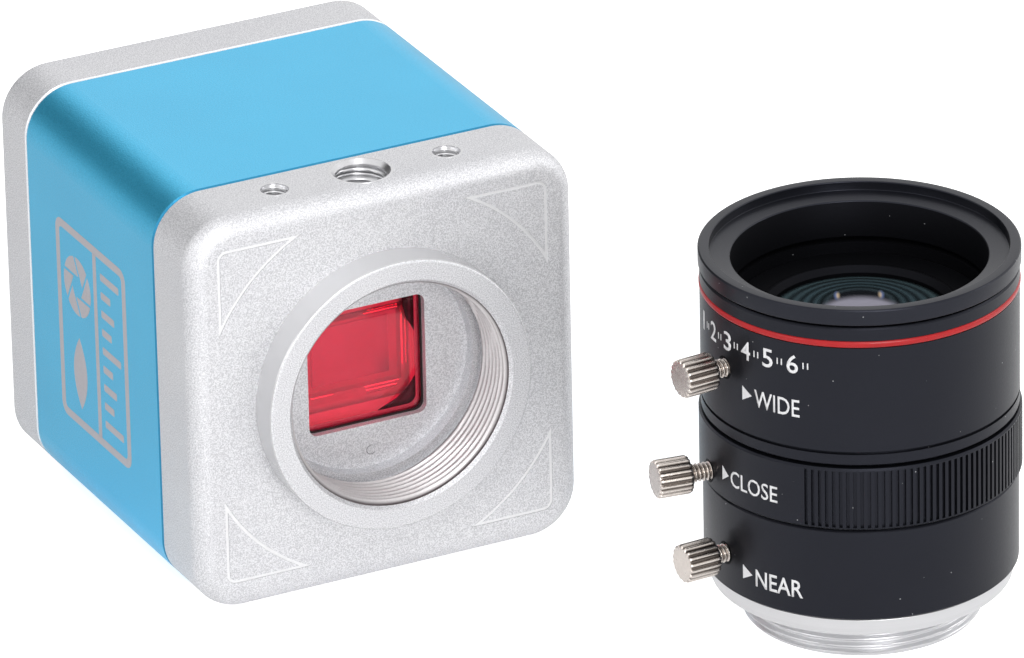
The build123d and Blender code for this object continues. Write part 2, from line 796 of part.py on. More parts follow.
# Iris ring: straight ribs all round but for a plain sector at the lock screw
with BuildPart() as iris_ring:
    with BuildSketch(lens_level(iris_low)):
        Circle(iris_radius)
        Circle(ring_bore, mode=Mode.SUBTRACT)
    extrude(amount=iris_high - iris_low)
    chamfer(outer_edges(iris_ring), ring_edge_chamfer)
    with BuildSketch(lens_level(iris_low + iris_edge_land)):
        with PolarLocations(iris_radius, rib_count, rib_start, rib_pitch_degrees * rib_count):
            Rectangle(2 * rib_depth, rib_gap_width)
    extrude(amount=iris_high - iris_low - 2 * iris_edge_land, mode=Mode.SUBTRACT)
    lock_hole(iris_screw_angle, iris_screw_z)
    with BuildSketch(outward(iris_screw_angle + 180, iris_pin_z, ring_bore - cut_margin)):
        Circle(iris_pin_radius + pin_gap / 2)
    extrude(amount=iris_pin_outer + seat_gap - ring_bore + cut_margin, mode=Mode.SUBTRACT)
keep(iris_ring, "iris_ring")

# Zoom ring: the long front ring, with a seat for the red line and a thread for the bezel
zoom_cutter = cam_cutter(zoom_screw_angle, zoom_pin_z, zoom_lead, zoom_turn)
with BuildPart() as zoom_ring:
    with BuildSketch(lens_section):
        with BuildLine():
            Polyline(
                (ring_bore, zoom_low),
                (zoom_radius - bezel_edge, zoom_low),
                (zoom_radius, zoom_low + bezel_edge),
                (zoom_radius, zoom_groove_low),
                (zoom_radius - zoom_groove_depth, zoom_groove_low),
                (zoom_radius - zoom_groove_depth, zoom_groove_low + zoom_groove_width),
                (zoom_radius, zoom_groove_low + zoom_groove_width),
                (zoom_radius, accent_low),
                (accent_seat_radius, accent_low),
                (accent_seat_radius, accent_high),
                (zoom_radius, accent_high),
                (zoom_radius, zoom_high - bezel_edge),
                (zoom_radius - bezel_edge, zoom_high),
                (bezel_thread_radius, zoom_high),
                (bezel_thread_radius, bezel_seat_z),
                (ring_bore, bezel_seat_z),
                close=True,
            )
        make_face()
    revolve(axis=lens_axis)
    lock_hole(zoom_screw_angle, zoom_screw_z)
    add(zoom_cutter, mode=Mode.SUBTRACT)
keep(zoom_ring, "zoom_ring")

# Thin red ring let into the zoom ring
with BuildPart() as accent_ring:
    with BuildSketch(lens_level(accent_low)):
        Circle(zoom_radius + accent_stand)
        Circle(accent_seat_radius, mode=Mode.SUBTRACT)
    extrude(amount=accent_high - accent_low)
keep(accent_ring, "accent_ring")

# Bezel: the front rim, a shallow step inside it, and the mouth
with BuildPart() as front_bezel:
    with BuildSketch(lens_section):
        with BuildLine():
            Polyline(
                (mouth_radius, bezel_seat_z + bezel_low_gap),
                (bezel_thread_radius - bezel_neck_gap, bezel_seat_z + bezel_low_gap),
                (bezel_thread_radius - bezel_neck_gap, bezel_low),
                (bezel_radius - bezel_edge, bezel_low),
                (bezel_radius, bezel_low + bezel_edge),
                (bezel_radius, lens_height - bezel_edge),
                (bezel_radius - bezel_edge, lens_height),
                (bezel_lip_radius, lens_height),
                (bezel_lip_radius, lens_height - bezel_lip_depth),
                (mouth_radius, lens_height - bezel_lip_depth - mouth_dish),
                close=True,
            )
        make_face()
    revolve(axis=lens_axis)
keep(front_bezel, "front_bezel")

# Lock screws: name, direction, height, ring radius and how far the head stands off
screws = (
    ("zoom_lock_screw", zoom_screw_angle, zoom_screw_z, zoom_radius, zoom_screw_reach),
    ("iris_lock_screw", iris_screw_angle, iris_screw_z, iris_radius, iris_screw_reach),
    ("focus_lock_screw", focus_screw_angle, focus_screw_z, focus_radius, focus_screw_reach),
)
for screw_name, screw_angle, screw_z, screw_ring, screw_reach in screws:
    head_seat = screw_ring + screw_reach
    with BuildPart() as lock_screw:
        with BuildSketch(outward(screw_angle, screw_z, head_seat)):
            Circle(screw_head_radius)
        extrude(amount=screw_head_length)
        chamfer(lock_screw.edges().filter_by(GeomType.CIRCLE), screw_head_chamfer)
        with BuildSketch(outward(screw_angle, screw_z, head_seat)):
            with PolarLocations(screw_head_radius, screw_rib_count):
                Circle(screw_rib_depth)
        extrude(amount=screw_head_length, mode=Mode.SUBTRACT)
        with BuildSketch(outward(screw_angle, screw_z, head_seat - screw_shank_length)):
            Circle(screw_shank_radius)
        extrude(amount=screw_shank_length)
    keep(lock_screw, screw_name)

# Guide pins of the two sliding groups, three in each
for pins_name, pins_screw, pins_z, pins_cell in (
        ("zoom_pins", zoom_screw_angle, zoom_pin_z, cell_radius),
        ("focus_pins", focus_screw_angle, focus_pin_z, rear_cell_radius)):
    with BuildPart() as pins:
        for angle in pin_angles(pins_screw):
            with BuildSketch(outward(angle, pins_z, pins_cell - pin_root)):
                Circle(pin_radius)
            extrude(amount=pin_tip_radius - pins_cell + pin_root)
    keep(pins, pins_name)


def pin_sockets(screw_angle, pin_z, cell):
    """Holes in the outside of a cell, where the guide pins are set."""
    for angle in pin_angles(screw_angle):
        with BuildSketch(outward(angle, pin_z, cell - pin_root)) as socket:
            Circle(pin_radius)
        extrude(socket.sketch, amount=pin_root + cut_margin, mode=Mode.SUBTRACT)


# Front group: cell, two elements with a spacer between them, and the retaining ring
front_retainer_bore = front_element_radius - cell_lip
front_element_top = front_cell_high - front_retainer_height
front_element_low = front_element_top - front_element_edge
spacer_low = front_element_low - element_spacer_height
second_element_low = spacer_low - second_element_edge
with BuildPart() as front_cell:
    with BuildSketch(lens_section):
        with BuildLine():
            Polyline(
                (second_element_radius - cell_lip, front_cell_low),
                (cell_radius, front_cell_low),
                (cell_radius, front_cell_high),
                (front_element_radius + element_gap, front_cell_high),
                (front_element_radius + element_gap, front_element_low),
                (second_element_radius + element_gap, front_element_low),
                (second_element_radius + element_gap, second_element_low),
                (second_element_radius - cell_lip, second_element_low),
                close=True,
            )
        make_face()
    revolve(axis=lens_axis)
    pin_sockets(zoom_screw_angle, zoom_pin_z, cell_radius)
keep(front_cell, "front_cell")


with BuildPart() as front_spacer_ring:
    with BuildSketch(lens_level(spacer_low)):
        Circle(second_element_radius)
        Circle(second_element_radius - cell_lip, mode=Mode.SUBTRACT)
    extrude(amount=element_spacer_height)
keep(front_spacer_ring, "front_spacer_ring")

with BuildPart() as front_retainer:
    with BuildSketch(lens_section):
        with BuildLine():
            Polyline(
                (front_retainer_bore, front_element_top),
                (front_element_radius, front_element_top),
                (front_element_radius, front_cell_high),
                (front_retainer_bore + retainer_cone, front_cell_high),
                (front_retainer_bore, front_cell_high - retainer_cone),
                close=True,
            )
        make_face()
    revolve(axis=lens_axis)
keep(front_retainer, "front_retainer")

# Rear group: cell open at its lower end, two elements with a spacer, and the retaining ring below
rear_element_low = rear_cell_low + rear_retainer_height
rear_spacer_low = rear_element_low + rear_element_edge
rear_second_low = rear_spacer_low + rear_spacer_height
rear_bore_high = rear_second_low + rear_element_edge
with BuildPart() as rear_cell:
    with BuildSketch(lens_section):
        with BuildLine():
            Polyline(
                (rear_element_radius + element_gap, rear_cell_low),
                (rear_cell_radius, rear_cell_low),
                (rear_cell_radius, rear_cell_high),
                (rear_element_radius - cell_lip, rear_cell_high),
                (rear_element_radius - cell_lip, rear_bore_high),
                (rear_element_radius + element_gap, rear_bore_high),
                close=True,
            )
        make_face()
    revolve(axis=lens_axis)
    pin_sockets(focus_screw_angle, focus_pin_z, rear_cell_radius)
keep(rear_cell, "rear_cell")


def crown(radius, sag):
    """Signed radius of the arc from a lens element's edge to its centre, whose height there is the sag."""
    return (radius**2 + sag**2) / (2 * sag)


# Glass elements: a flat land at the edge, which the lips and rings hold, and two spherical faces.
# A positive sag bulges, a negative one is hollow.
elements = (
    ("front_element", front_element_radius, front_element_low, front_element_edge, front_element_sag,
     -front_element_back_sag),
    ("second_element", second_element_radius, second_element_low, second_element_edge, second_element_sag,
     -second_element_sag),
    ("middle_element", rear_element_radius, rear_second_low, rear_element_edge, rear_element_sag,
     -rear_element_sag),
    ("rear_element", rear_element_radius, rear_element_low, rear_element_edge, -rear_element_sag,
     rear_element_sag / 2),
)
for element_name, radius, low, edge, top_sag, bottom_sag in elements:
    high = low + edge
    clear = radius - cell_lip - element_gap
    with BuildPart() as element:
        with BuildSketch(lens_section):
            with BuildLine():
                Polyline((clear, low), (radius, low), (radius, high), (clear, high))
                RadiusArc((clear, high), (0, high + top_sag), -crown(clear, top_sag))
                Line((0, high + top_sag), (0, low - bottom_sag))
                RadiusArc((0, low - bottom_sag), (clear, low), -crown(clear, bottom_sag))
            make_face()
        revolve(axis=lens_axis)
    keep(element, element_name)

with BuildPart() as rear_spacer_ring:
    with BuildSketch(lens_level(rear_spacer_low)):
        Circle(rear_element_radius)
        Circle(rear_element_radius - cell_lip, mode=Mode.SUBTRACT)
    extrude(amount=rear_spacer_height)
keep(rear_spacer_ring, "rear_spacer_ring")

with BuildPart() as rear_retainer:
    with BuildSketch(lens_level(rear_cell_low)):
        Circle(rear_element_radius)
        Circle(rear_element_radius - cell_lip, mode=Mode.SUBTRACT)
    extrude(amount=rear_retainer_height)
keep(rear_retainer, "rear_retainer")


def polar(radius, angle):
    """Point on a level lens sketch, from a radius and an angle in degrees."""
    return (radius * math.cos(math.radians(angle)), radius * math.sin(math.radians(angle)))


# Iris base: fixed plate with a pivot hole for each blade
pivot_angles = [i * 360 / blade_count for i in range(blade_count)]
with BuildPart() as iris_base:
    with BuildSketch(lens_level(iris_base_z)):
        Circle(cell_radius)
        Circle(blade_inner_radius, mode=Mode.SUBTRACT)
        with PolarLocations(pivot_circle, blade_count):
            Circle(blade_pin_radius + blade_pin_gap, mode=Mode.SUBTRACT)
    extrude(amount=iris_base_thickness)
keep(iris_base, "iris_base")

# Iris blades: thin crescents, one above the other. Each turns on a pin below its tab and is
# driven by a pin above it. They are drawn wide open, then swung half shut, which is how they rest.
for i, pivot_angle in enumerate(pivot_angles):
    level = blade_low + i * blade_pitch
    pivot = polar(pivot_circle, 0)
    driver = polar(pivot_circle, drive_pin_angle)
    with BuildPart() as open_blade:
        with BuildSketch(Plane.XY.offset(level)):
            Circle(blade_outer_radius)
            Circle(blade_inner_radius, mode=Mode.SUBTRACT)
            far = 2 * blade_outer_radius
            with BuildLine():
                Polyline((0, 0), (far, 0), polar(1.5 * far, blade_sweep_degrees / 2),
                         polar(far, blade_sweep_degrees), close=True)
            make_face(mode=Mode.INTERSECT)
            with BuildLine():
                Polyline(polar(blade_inner_radius + blade_tab_root_length, 0), polar(pivot_circle, 0),
                         polar(pivot_circle, 2 * drive_pin_angle),
                         polar(blade_inner_radius + blade_tab_root_length, 2 * drive_pin_angle), close=True)
            make_face()
            with Locations(pivot, driver):
                Circle(blade_tab_radius)
        extrude(amount=blade_thickness)
        with BuildSketch(Plane.XY.offset(iris_base_z + turning_gap)):
            with Locations(pivot):
                Circle(blade_pin_radius)
        extrude(amount=level - iris_base_z - turning_gap)
        with BuildSketch(Plane.XY.offset(level + blade_thickness)):
            with Locations(driver):
                Circle(blade_pin_radius)
        extrude(amount=plate_high - turning_gap - level - blade_thickness)
    swung = open_blade.part.rotate(Axis((pivot_circle, 0, 0), (0, 0, 1)), blade_rest)
    with BuildPart() as blade:
        add(swung.rotate(Axis.Z, pivot_angle).moved(Location((lens_x, lens_y, 0))))
    keep(blade, f"iris_blade_{i + 1}")


def driver_place(ring_turn):
    """Where a blade's drive pin stands on the drive plate, once the plate has turned from rest."""
    swing = math.radians(blade_rest + blade_ratio * ring_turn)
    arm_x, arm_y = (a - b for a, b in zip(polar(pivot_circle, drive_pin_angle), polar(pivot_circle, 0)))
    x = pivot_circle + arm_x * math.cos(swing) - arm_y * math.sin(swing)
    y = arm_x * math.sin(swing) + arm_y * math.cos(swing)
    back = math.radians(-ring_turn)
    return (x * math.cos(back) - y * math.sin(back), x * math.sin(back) + y * math.cos(back))


# Curved slot that one blade's drive pin follows
with BuildSketch(Plane.XY) as drive_slot:
    with BuildLine():
        Spline(*[driver_place(iris_turn * i / 3) for i in range(-3, 4)])
    trace(line_width=2 * (blade_pin_radius + slot_gap))
    with Locations(driver_place(-iris_turn), driver_place(iris_turn)):
        Circle(blade_pin_radius + slot_gap)

# Drive plate: turns with the iris ring, and its curved slots swing the blades
with BuildPart() as iris_drive_plate:
    with BuildSketch(lens_level(plate_low)):
        Circle(cell_radius)
        Circle(plate_bore, mode=Mode.SUBTRACT)
    extrude(amount=plate_thickness)
    with BuildSketch(lens_level(plate_low)):
        with PolarLocations(0, blade_count):
            add(drive_slot.sketch)
    extrude(amount=plate_thickness, mode=Mode.SUBTRACT)
    with BuildSketch(outward(iris_screw_angle + 180, iris_pin_z, iris_pin_inner - seat_gap)):
        Circle(iris_pin_radius + pin_gap / 2)
    extrude(amount=cell_radius, mode=Mode.SUBTRACT)
keep(iris_drive_plate, "iris_drive_plate")

# Pin that joins the iris ring to the drive plate through the arc slot in the barrel
with BuildPart() as iris_drive_pin:
    with BuildSketch(outward(iris_screw_angle + 180, iris_pin_z, iris_pin_inner)):
        Circle(iris_pin_radius)
    extrude(amount=iris_pin_outer - iris_pin_inner)
keep(iris_drive_pin, "iris_drive_pin")

# Ring that keeps the drive plate down
with BuildPart() as iris_retainer:
    with BuildSketch(lens_level(iris_retainer_low)):
        Circle(cell_radius)
        Circle(iris_retainer_bore, mode=Mode.SUBTRACT)
    extrude(amount=iris_retainer_height)
keep(iris_retainer, "iris_retainer")
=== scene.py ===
# %% [markdown]
# A small USB camera lies on a white table with its mount towards us, and its zoom lens stands beside it on
# its own thread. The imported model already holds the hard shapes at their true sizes. This lesson gives them
# their finishes, cuts the screw threads that the model leaves plain, and lights the two as a studio would.
# Everything is worked out in millimetres and turned into Blender's metres at the last moment.

import json
import math

import bmesh
import bpy
import numpy as np
from mathutils import Matrix, Vector


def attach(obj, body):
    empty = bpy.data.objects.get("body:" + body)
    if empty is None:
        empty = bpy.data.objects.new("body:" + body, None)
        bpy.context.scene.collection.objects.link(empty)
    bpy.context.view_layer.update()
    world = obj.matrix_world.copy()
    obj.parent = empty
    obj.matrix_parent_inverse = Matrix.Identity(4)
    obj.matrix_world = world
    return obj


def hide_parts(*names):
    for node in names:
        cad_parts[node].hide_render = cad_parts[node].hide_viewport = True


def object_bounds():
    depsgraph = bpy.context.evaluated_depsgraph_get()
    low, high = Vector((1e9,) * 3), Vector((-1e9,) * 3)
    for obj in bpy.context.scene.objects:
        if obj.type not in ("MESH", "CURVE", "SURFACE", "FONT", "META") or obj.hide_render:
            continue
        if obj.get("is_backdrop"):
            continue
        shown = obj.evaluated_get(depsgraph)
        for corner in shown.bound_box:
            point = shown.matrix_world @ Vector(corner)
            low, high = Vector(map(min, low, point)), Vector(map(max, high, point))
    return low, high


MM = 0.001
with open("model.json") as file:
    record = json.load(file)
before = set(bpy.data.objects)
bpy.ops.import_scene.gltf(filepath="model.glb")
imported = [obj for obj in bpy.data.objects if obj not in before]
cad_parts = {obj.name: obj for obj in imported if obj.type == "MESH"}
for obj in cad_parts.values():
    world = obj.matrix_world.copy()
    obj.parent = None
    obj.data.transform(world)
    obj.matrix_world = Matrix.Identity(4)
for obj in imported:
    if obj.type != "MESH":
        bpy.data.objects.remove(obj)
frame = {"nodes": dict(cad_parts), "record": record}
cad_nodes = frame["nodes"]
cad_low, cad_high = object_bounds()
print("frame:", len(cad_nodes), "nodes, box in mm", [round(v / MM, 1) for v in (*cad_low, *cad_high)])

# %% [markdown]
# The few places and sizes that many pieces share come first: the plane of the head's front face, the height
# of its optical axis, the upright axis of the lens and the radii of its rings. They are the model's own
# numbers, so every new piece lands on the solid that carries it.

# %% Shared places, in millimetres
face_y = -23.7
rim_y = -27.3
axis_z = 22.5
lens_x = 40.2
lens_y = -53.95
mount_ring_radius = 15.3
mount_pitch = 0.794
head_top = 45.0
head_half_width = 22.5
ring_radii = {"zoom": 16.65, "iris": 16.9, "focus": 16.55}
focus_screw_degrees = 182.9
table_z = -0.05

# %% [markdown]
# A photograph's colours are written as sRGB, which is what a paint chart or a web page uses. A shader works
# in linear light, so one function turns the first into the second, and every colour below goes through it.


# %% Colour
def srgb(code):
    """Linear light of a hex colour. Each channel c, from 0 to 1, becomes c / 12.92 where it is below
    0.04045, and ((c + 0.055) / 1.055) to the power of 2.4 above that."""
    c = np.array([int(code[i:i + 2], 16) for i in (1, 3, 5)]) / 255
    return (*np.where(c <= 0.04045, c / 12.92, ((c + 0.055) / 1.055) ** 2.4), 1.0)


print("bead-blasted aluminium in linear light:", [round(v, 3) for v in srgb("#d5d6da")[:3]])

# %% [markdown]
# A finish is a small tree of shader nodes. Building it by hand means the same three steps each time: add
# the node, set its options, fill or link its sockets. One function does all three, for any kind of node.
# The shorter ones after it hand over the output of the nodes that every finish needs: a noise, a mix of
# two colours, a change of range, and a step of arithmetic.


# %% Adding a node
def add_node(tree, kind, sockets=None, **options):
    """Adds a node, sets its options, and gives each named socket a value or a link from another node."""
    made = tree.nodes.new("ShaderNode" + kind)
    for name, value in options.items():
        setattr(made, name, value)
    for name, value in (sockets or {}).items():
        if isinstance(value, bpy.types.NodeSocket):
            tree.links.new(value, made.inputs[name])
        else:
            made.inputs[name].default_value = value
    return made


def new_material(name):
    """An empty material. Returns it with its tree and its object coordinates."""
    finish = bpy.data.materials.new(name)
    finish.use_nodes = True
    tree = finish.node_tree
    tree.nodes.clear()
    return finish, tree, add_node(tree, "TexCoord").outputs["Object"]


def new_finish(name, sockets):
    """A material with one Principled shader. Returns it with its tree, shader and object coordinates."""
    finish, tree, place = new_material(name)
    shader = add_node(tree, "BsdfPrincipled", sockets)
    add_node(tree, "OutputMaterial", {"Surface": shader.outputs["BSDF"]})
    return finish, tree, shader, place


def per_mm(size):
    """Scale of a noise whose grains are this many millimetres across."""
    return 1 / (size * MM)


def noise(tree, place, size, detail=2.0, roughness=0.5):
    """Cloudy noise from 0 to 1, with grains of a size in millimetres."""
    return add_node(tree, "TexNoise", {"Vector": place, "Scale": per_mm(size), "Detail": detail,
                                       "Roughness": roughness}).outputs["Fac"]


def mix(tree, factor, first, second, **options):
    """From the first colour to the second as the factor goes from 0 to 1. Each is a hex code or a link."""
    first, second = (srgb(c) if isinstance(c, str) else c for c in (first, second))
    return add_node(tree, "Mix", {0: factor, 6: first, 7: second}, data_type="RGBA", **options).outputs[2]


def mix_values(tree, factor, first, second):
    """From the first value to the second as the factor goes from 0 to 1."""
    return add_node(tree, "Mix", {0: factor, 2: first, 3: second}, data_type="FLOAT").outputs[0]


def remap(tree, value, to_low, to_high, from_low=0.0, from_high=1.0, **options):
    """Carries a value from one range over to another."""
    return add_node(tree, "MapRange", {"Value": value, "From Min": from_low, "From Max": from_high,
                                       "To Min": to_low, "To Max": to_high}, **options).outputs[0]


def reckon(tree, operation, first, second=0.0):
    """One step of arithmetic."""
    return add_node(tree, "Math", {0: first, 1: second}, operation=operation).outputs[0]


def reckon_vector(tree, operation, first, second=(0, 0, 0)):
    """One step of vector arithmetic. A length and a dot product come out as a value, the rest as a vector."""
    made = add_node(tree, "VectorMath", {0: first, 1: second}, operation=operation)
    return made.outputs["Value" if operation in ("LENGTH", "DOT_PRODUCT") else "Vector"]


def set_surface(tree, shader, colour, roughness, height=None, strength=0.4, depth=0.0):
    """Links a colour and a roughness and, where there is a height, a bump of a depth in millimetres, whose
    normal it returns."""
    tree.links.new(colour, shader.inputs["Base Color"])
    tree.links.new(roughness, shader.inputs["Roughness"])
    if height is None:
        return None
    bump = add_node(tree, "Bump", {"Height": height, "Strength": strength, "Distance": depth * MM})
    tree.links.new(bump.outputs["Normal"], shader.inputs["Normal"])
    return bump.outputs["Normal"]


print("a 0.25 mm grain is noise at scale", round(per_mm(0.25)))

# %% [markdown]
# Both caps of the head are aluminium castings that were blasted with fine glass beads and then given a clear
# anodic skin. Beads leave a surface of tiny dents, so a cap looks evenly grey from afar and sparkles close
# up. A fine noise drives the bump and, a little, the roughness and the tone. The anodic skin scatters part of
# the light, so the finish is not wholly metallic. The thin chamfer where the rear cap meets the sleeve was
# cut after the blasting, so a band there is smooth. Its near-white tone is partly bare metal and partly a
# painted highlight along the joint. The outer wall of the mount ring was also cut after the blasting, turned
# on a lathe, and stays smooth.


# %% Bead-blasted cast aluminium
def painted_joint_band(tree, place, middle, half_width):
    """1 on a thin band across the depth of the head, 0 elsewhere: the distance from the band's middle
    is compared with half its width."""
    depth = add_node(tree, "SeparateXYZ", {0: place}).outputs["Y"]
    near = reckon(tree, "ABSOLUTE", reckon(tree, "SUBTRACT", depth, middle * MM))
    return reckon(tree, "LESS_THAN", near, half_width * MM)


def ring_wall(tree, place):
    """1 on the outer wall of the mount ring, 0 elsewhere: in front of the face, and farther from the head's
    axis than a little less than the ring's radius."""
    off = reckon_vector(tree, "SUBTRACT", place, (0, 0, axis_z * MM))
    radius = reckon_vector(tree, "LENGTH", reckon_vector(tree, "MULTIPLY", off, (1, 0, 1)))
    depth = add_node(tree, "SeparateXYZ", {0: place}).outputs["Y"]
    outside = reckon(tree, "GREATER_THAN", radius, (mount_ring_radius - 0.1) * MM)
    before = reckon(tree, "LESS_THAN", depth, (face_y - 0.02) * MM)
    return reckon(tree, "MULTIPLY", outside, before)


cast_aluminium, tree, shader, place = new_finish("bead_blasted_aluminium", {"Metallic": 0.6})
grain = noise(tree, place, 0.13, 1.5, 0.6)
drift = mix(tree, noise(tree, place, 9), "#f2f2f4", "#fdfdfd")
tone = mix(tree, remap(tree, grain, 0.0, 1.0, 0.38, 0.62), "#c4c4c7", "#ececee")
tone = mix(tree, 1.0, tone, drift, blend_type="MULTIPLY")
# Painted highlight: a near-white band along the rear joint, partly bare cut metal.
band = painted_joint_band(tree, place, 17.285, 0.065)
wall = ring_wall(tree, place)
tone = mix(tree, wall, mix(tree, band, tone, "#f8f8fa"), "#cdcdce")
cut = reckon(tree, "MAXIMUM", band, wall)
rough = mix_values(tree, cut, remap(tree, grain, 0.40, 0.58), 0.26)
set_surface(tree, shader, tone, rough, grain, remap(tree, cut, 0.9, 0.1), 0.04)
print("finish:", cast_aluminium.name)

# %% [markdown]
# The sleeve is an aluminium extrusion, blasted like the caps and then anodised blue. The dye sits in a clear,
# hard skin on top of bright metal. That is why blue anodising looks deep: light is tinted by the dye and
# mirrored by the metal, and the skin adds its own soft white gloss. A metallic base gives the first two, and
# a coat gives the third. A thin band on the sleeve's front chamfer is painted a darker blue. It is painted
# shade, for the shade in the gap of the joint with the front cap.

# %% Blue anodised aluminium
blue_anodised, tree, shader, place = new_finish(
    "blue_anodised_aluminium", {"Metallic": 1.0, "Coat Weight": 0.4, "Coat Roughness": 0.3, "Coat IOR": 1.45})
grain = noise(tree, place, 0.15, 1.5, 0.6)
drift = mix(tree, noise(tree, place, 12), "#f0f2f4", "#ffffff")
tone = mix(tree, remap(tree, grain, 0.0, 1.0, 0.3, 0.7), "#35b3de", "#4ec9f2")
tone = mix(tree, 1.0, tone, drift, blend_type="MULTIPLY")
# Painted shade: a darker blue band on the front chamfer, for the shade in the joint's gap.
tone = mix(tree, painted_joint_band(tree, place, -14.775, 0.13), tone, "#2b86ad")
dents = set_surface(tree, shader, tone, remap(tree, grain, 0.32, 0.46), grain, 0.75, 0.04)
tree.links.new(dents, shader.inputs["Coat Normal"])
print("finish:", blue_anodised.name)

# %% [markdown]
# Every turned piece of the lens carries the marks of the lathe: very fine rings round the lens's axis. They
# can be had from a noise that reads only the distance from that axis and the height, so it is the same all
# the way round. The same two coordinates serve the black rings, the bright flange and the front glass.


# %% Turning marks
def from_lens_axis(tree, place):
    """A place as seen from the foot of the lens's axis, and its distance from that axis."""
    off = reckon_vector(tree, "SUBTRACT", place, (lens_x * MM, lens_y * MM, 0))
    return off, reckon_vector(tree, "LENGTH", reckon_vector(tree, "MULTIPLY", off, (1, 1, 0)))


def lathe_lines(tree, place, pitch):
    """Noise of rings round the lens's axis: its point is (distance from the axis, 0, height)."""
    off, radius = from_lens_axis(tree, place)
    height = add_node(tree, "SeparateXYZ", {0: off}).outputs["Z"]
    return noise(tree, add_node(tree, "CombineXYZ", {"X": radius, "Z": height}).outputs[0], pitch)


def dust(tree, place, spacing, size):
    """1 on sparse specks: points of a 3-D scatter that lie within the given distance of the surface."""
    cells = add_node(tree, "TexVoronoi", {"Vector": place, "Scale": per_mm(spacing)})
    return reckon(tree, "LESS_THAN", cells.outputs["Distance"], size / spacing)


turning_pitch = 0.12
print("turning marks are", turning_pitch, "mm apart: the real ones are finer than a pixel")

# %% [markdown]
# The lens is aluminium, turned, lightly blasted and anodised black. The dye swallows most of the light, so
# the finish is hardly metallic: a near-black base under a satin skin, which turns pale grey only where it
# is seen at a grazing angle. A few specks of dust lie on it, as they do on every black lens.


# %% Black anodised aluminium
def black_anodised(name, base, low, high, shine, specks):
    """Satin black of the given base colour, with roughness between low and high and this much shine."""
    finish, tree, shader, place = new_finish(
        name, {"Metallic": 0.0, "Specular IOR Level": shine, "Specular Tint": srgb("#e2e6ff")})
    grain = noise(tree, place, 0.2, 1.0)
    wear = remap(tree, noise(tree, place, 7, 3.0), 0.0, 1.0, 0.3, 0.7)
    darker = tuple(v * 0.86 for v in srgb(base)[:3]) + (1.0,)
    skin = mix(tree, dust(tree, place, 2.0, specks), mix(tree, wear, darker, base), "#8f9092")
    marks = reckon(tree, "ADD", lathe_lines(tree, place, turning_pitch), grain)
    set_surface(tree, shader, skin, remap(tree, grain, low, high), marks, 0.35, 0.012)
    return finish


ring_black = black_anodised("black_anodised_rings", "#0f1014", 0.28, 0.40, 0.29, 0.07)
rim_black = black_anodised("black_anodised_rim", "#101115", 0.26, 0.36, 0.36, 0.07)
# The bore's black also serves as painted shade: it lines the front bore and rings each screw hole.
bore_black_and_painted_shade = black_anodised("black_bore_and_painted_shade", "#060607", 0.5, 0.62, 0.12, 0.06)
print("finishes:", ring_black.name, rim_black.name, bore_black_and_painted_shade.name)

# %% [markdown]
# The flange and thread under the lens are bare turned aluminium with a clear skin: brighter and smoother than
# the caps, with lathe lines that stretch its highlights. The three lock screws are brass with a nickel plate,
# a warmer grey than aluminium. Where a piece carries a "root_darkening" value on its points, the nickel turns
# darker by it, towards the roots of the knurls and threads. So does the freshly cut aluminium of the mount's
# thread. The line round the front of the lens is red enamel in a groove.

# %% Turned aluminium, nickel and enamel
bright_flange, tree, shader, place = new_finish("turned_aluminium", {"Metallic": 1.0})
lines = lathe_lines(tree, place, 0.16)
tone = mix(tree, lines, "#c8c8ca", "#dadadc")
set_surface(tree, shader, tone, remap(tree, lines, 0.24, 0.36), lines, 0.4, 0.012)


def metal_darker_in_roots(name, metallic, grain, dark, light, root_darkening, low, high):
    """Metal between two tones by a noise of some size, detail and roughness, and of a third, darker tone
    where the root_darkening value of its piece is 1."""
    finish, tree, shader, place = new_finish(name, {"Metallic": metallic})
    haze = noise(tree, place, *grain)
    dirt = add_node(tree, "Attribute", attribute_name="root_darkening").outputs["Fac"]
    tone = mix(tree, dirt, mix(tree, haze, dark, light), root_darkening)
    set_surface(tree, shader, tone, remap(tree, haze, low, high))
    return finish


nickel = metal_darker_in_roots("nickel_plate", 1.0, (0.5, 3.0, 0.6), "#c2b9b2", "#ded7d1", "#645c57", 0.16, 0.34)
tapped_aluminium = metal_darker_in_roots(
    "tapped_aluminium", 0.55, (0.2, 2.0, 0.5), "#ccc8c9", "#e0dcdd", "#6a6465", 0.32, 0.48)

red_enamel, tree, shader, place = new_finish("red_enamel", {"Specular IOR Level": 0.3, "Coat Weight": 0.15})
haze = noise(tree, place, 1.5)
set_surface(tree, shader, mix(tree, haze, "#960b11", "#b31419"), remap(tree, haze, 0.28, 0.4))
print("finishes:", bright_flange.name, nickel.name, red_enamel.name)

# %% [markdown]
# The window in the head is a thin slab of red filter glass, and the sensor has a clear cover glass. Modelled
# as true refracting solids they would keep the lamps off the sensor, so both are made of the two things that
# the eye sees: light that passes straight through and is dyed by each face, and a clear mirror image that
# grows at grazing angles, as Fresnel's law says. The front lens element is made in the same way. On it a
# painted reflection stands for the faint image of its coating and of the elements behind it: dark teal rings,
# a pale lilac disc of the sky, and two painted glints. A thin painted veil shows the same colours. The other
# elements stay true glass.


# %% Filter glass and lens glass
def spot(tree, across, along, centre, half, soft):
    """1 inside an ellipse, from its centre and half sizes in millimetres, falling to 0 at its edge."""
    x, y = (remap(tree, way, 0.0, 1.0, middle * MM, (middle + size) * MM, clamp=False)
            for way, middle, size in zip((across, along), centre, half))
    away = reckon_vector(tree, "LENGTH", add_node(tree, "CombineXYZ", {"X": x, "Y": y}).outputs[0])
    return remap(tree, away, 0.0, 1.0, 1.0, 1 - soft, interpolation_type="SMOOTHSTEP")


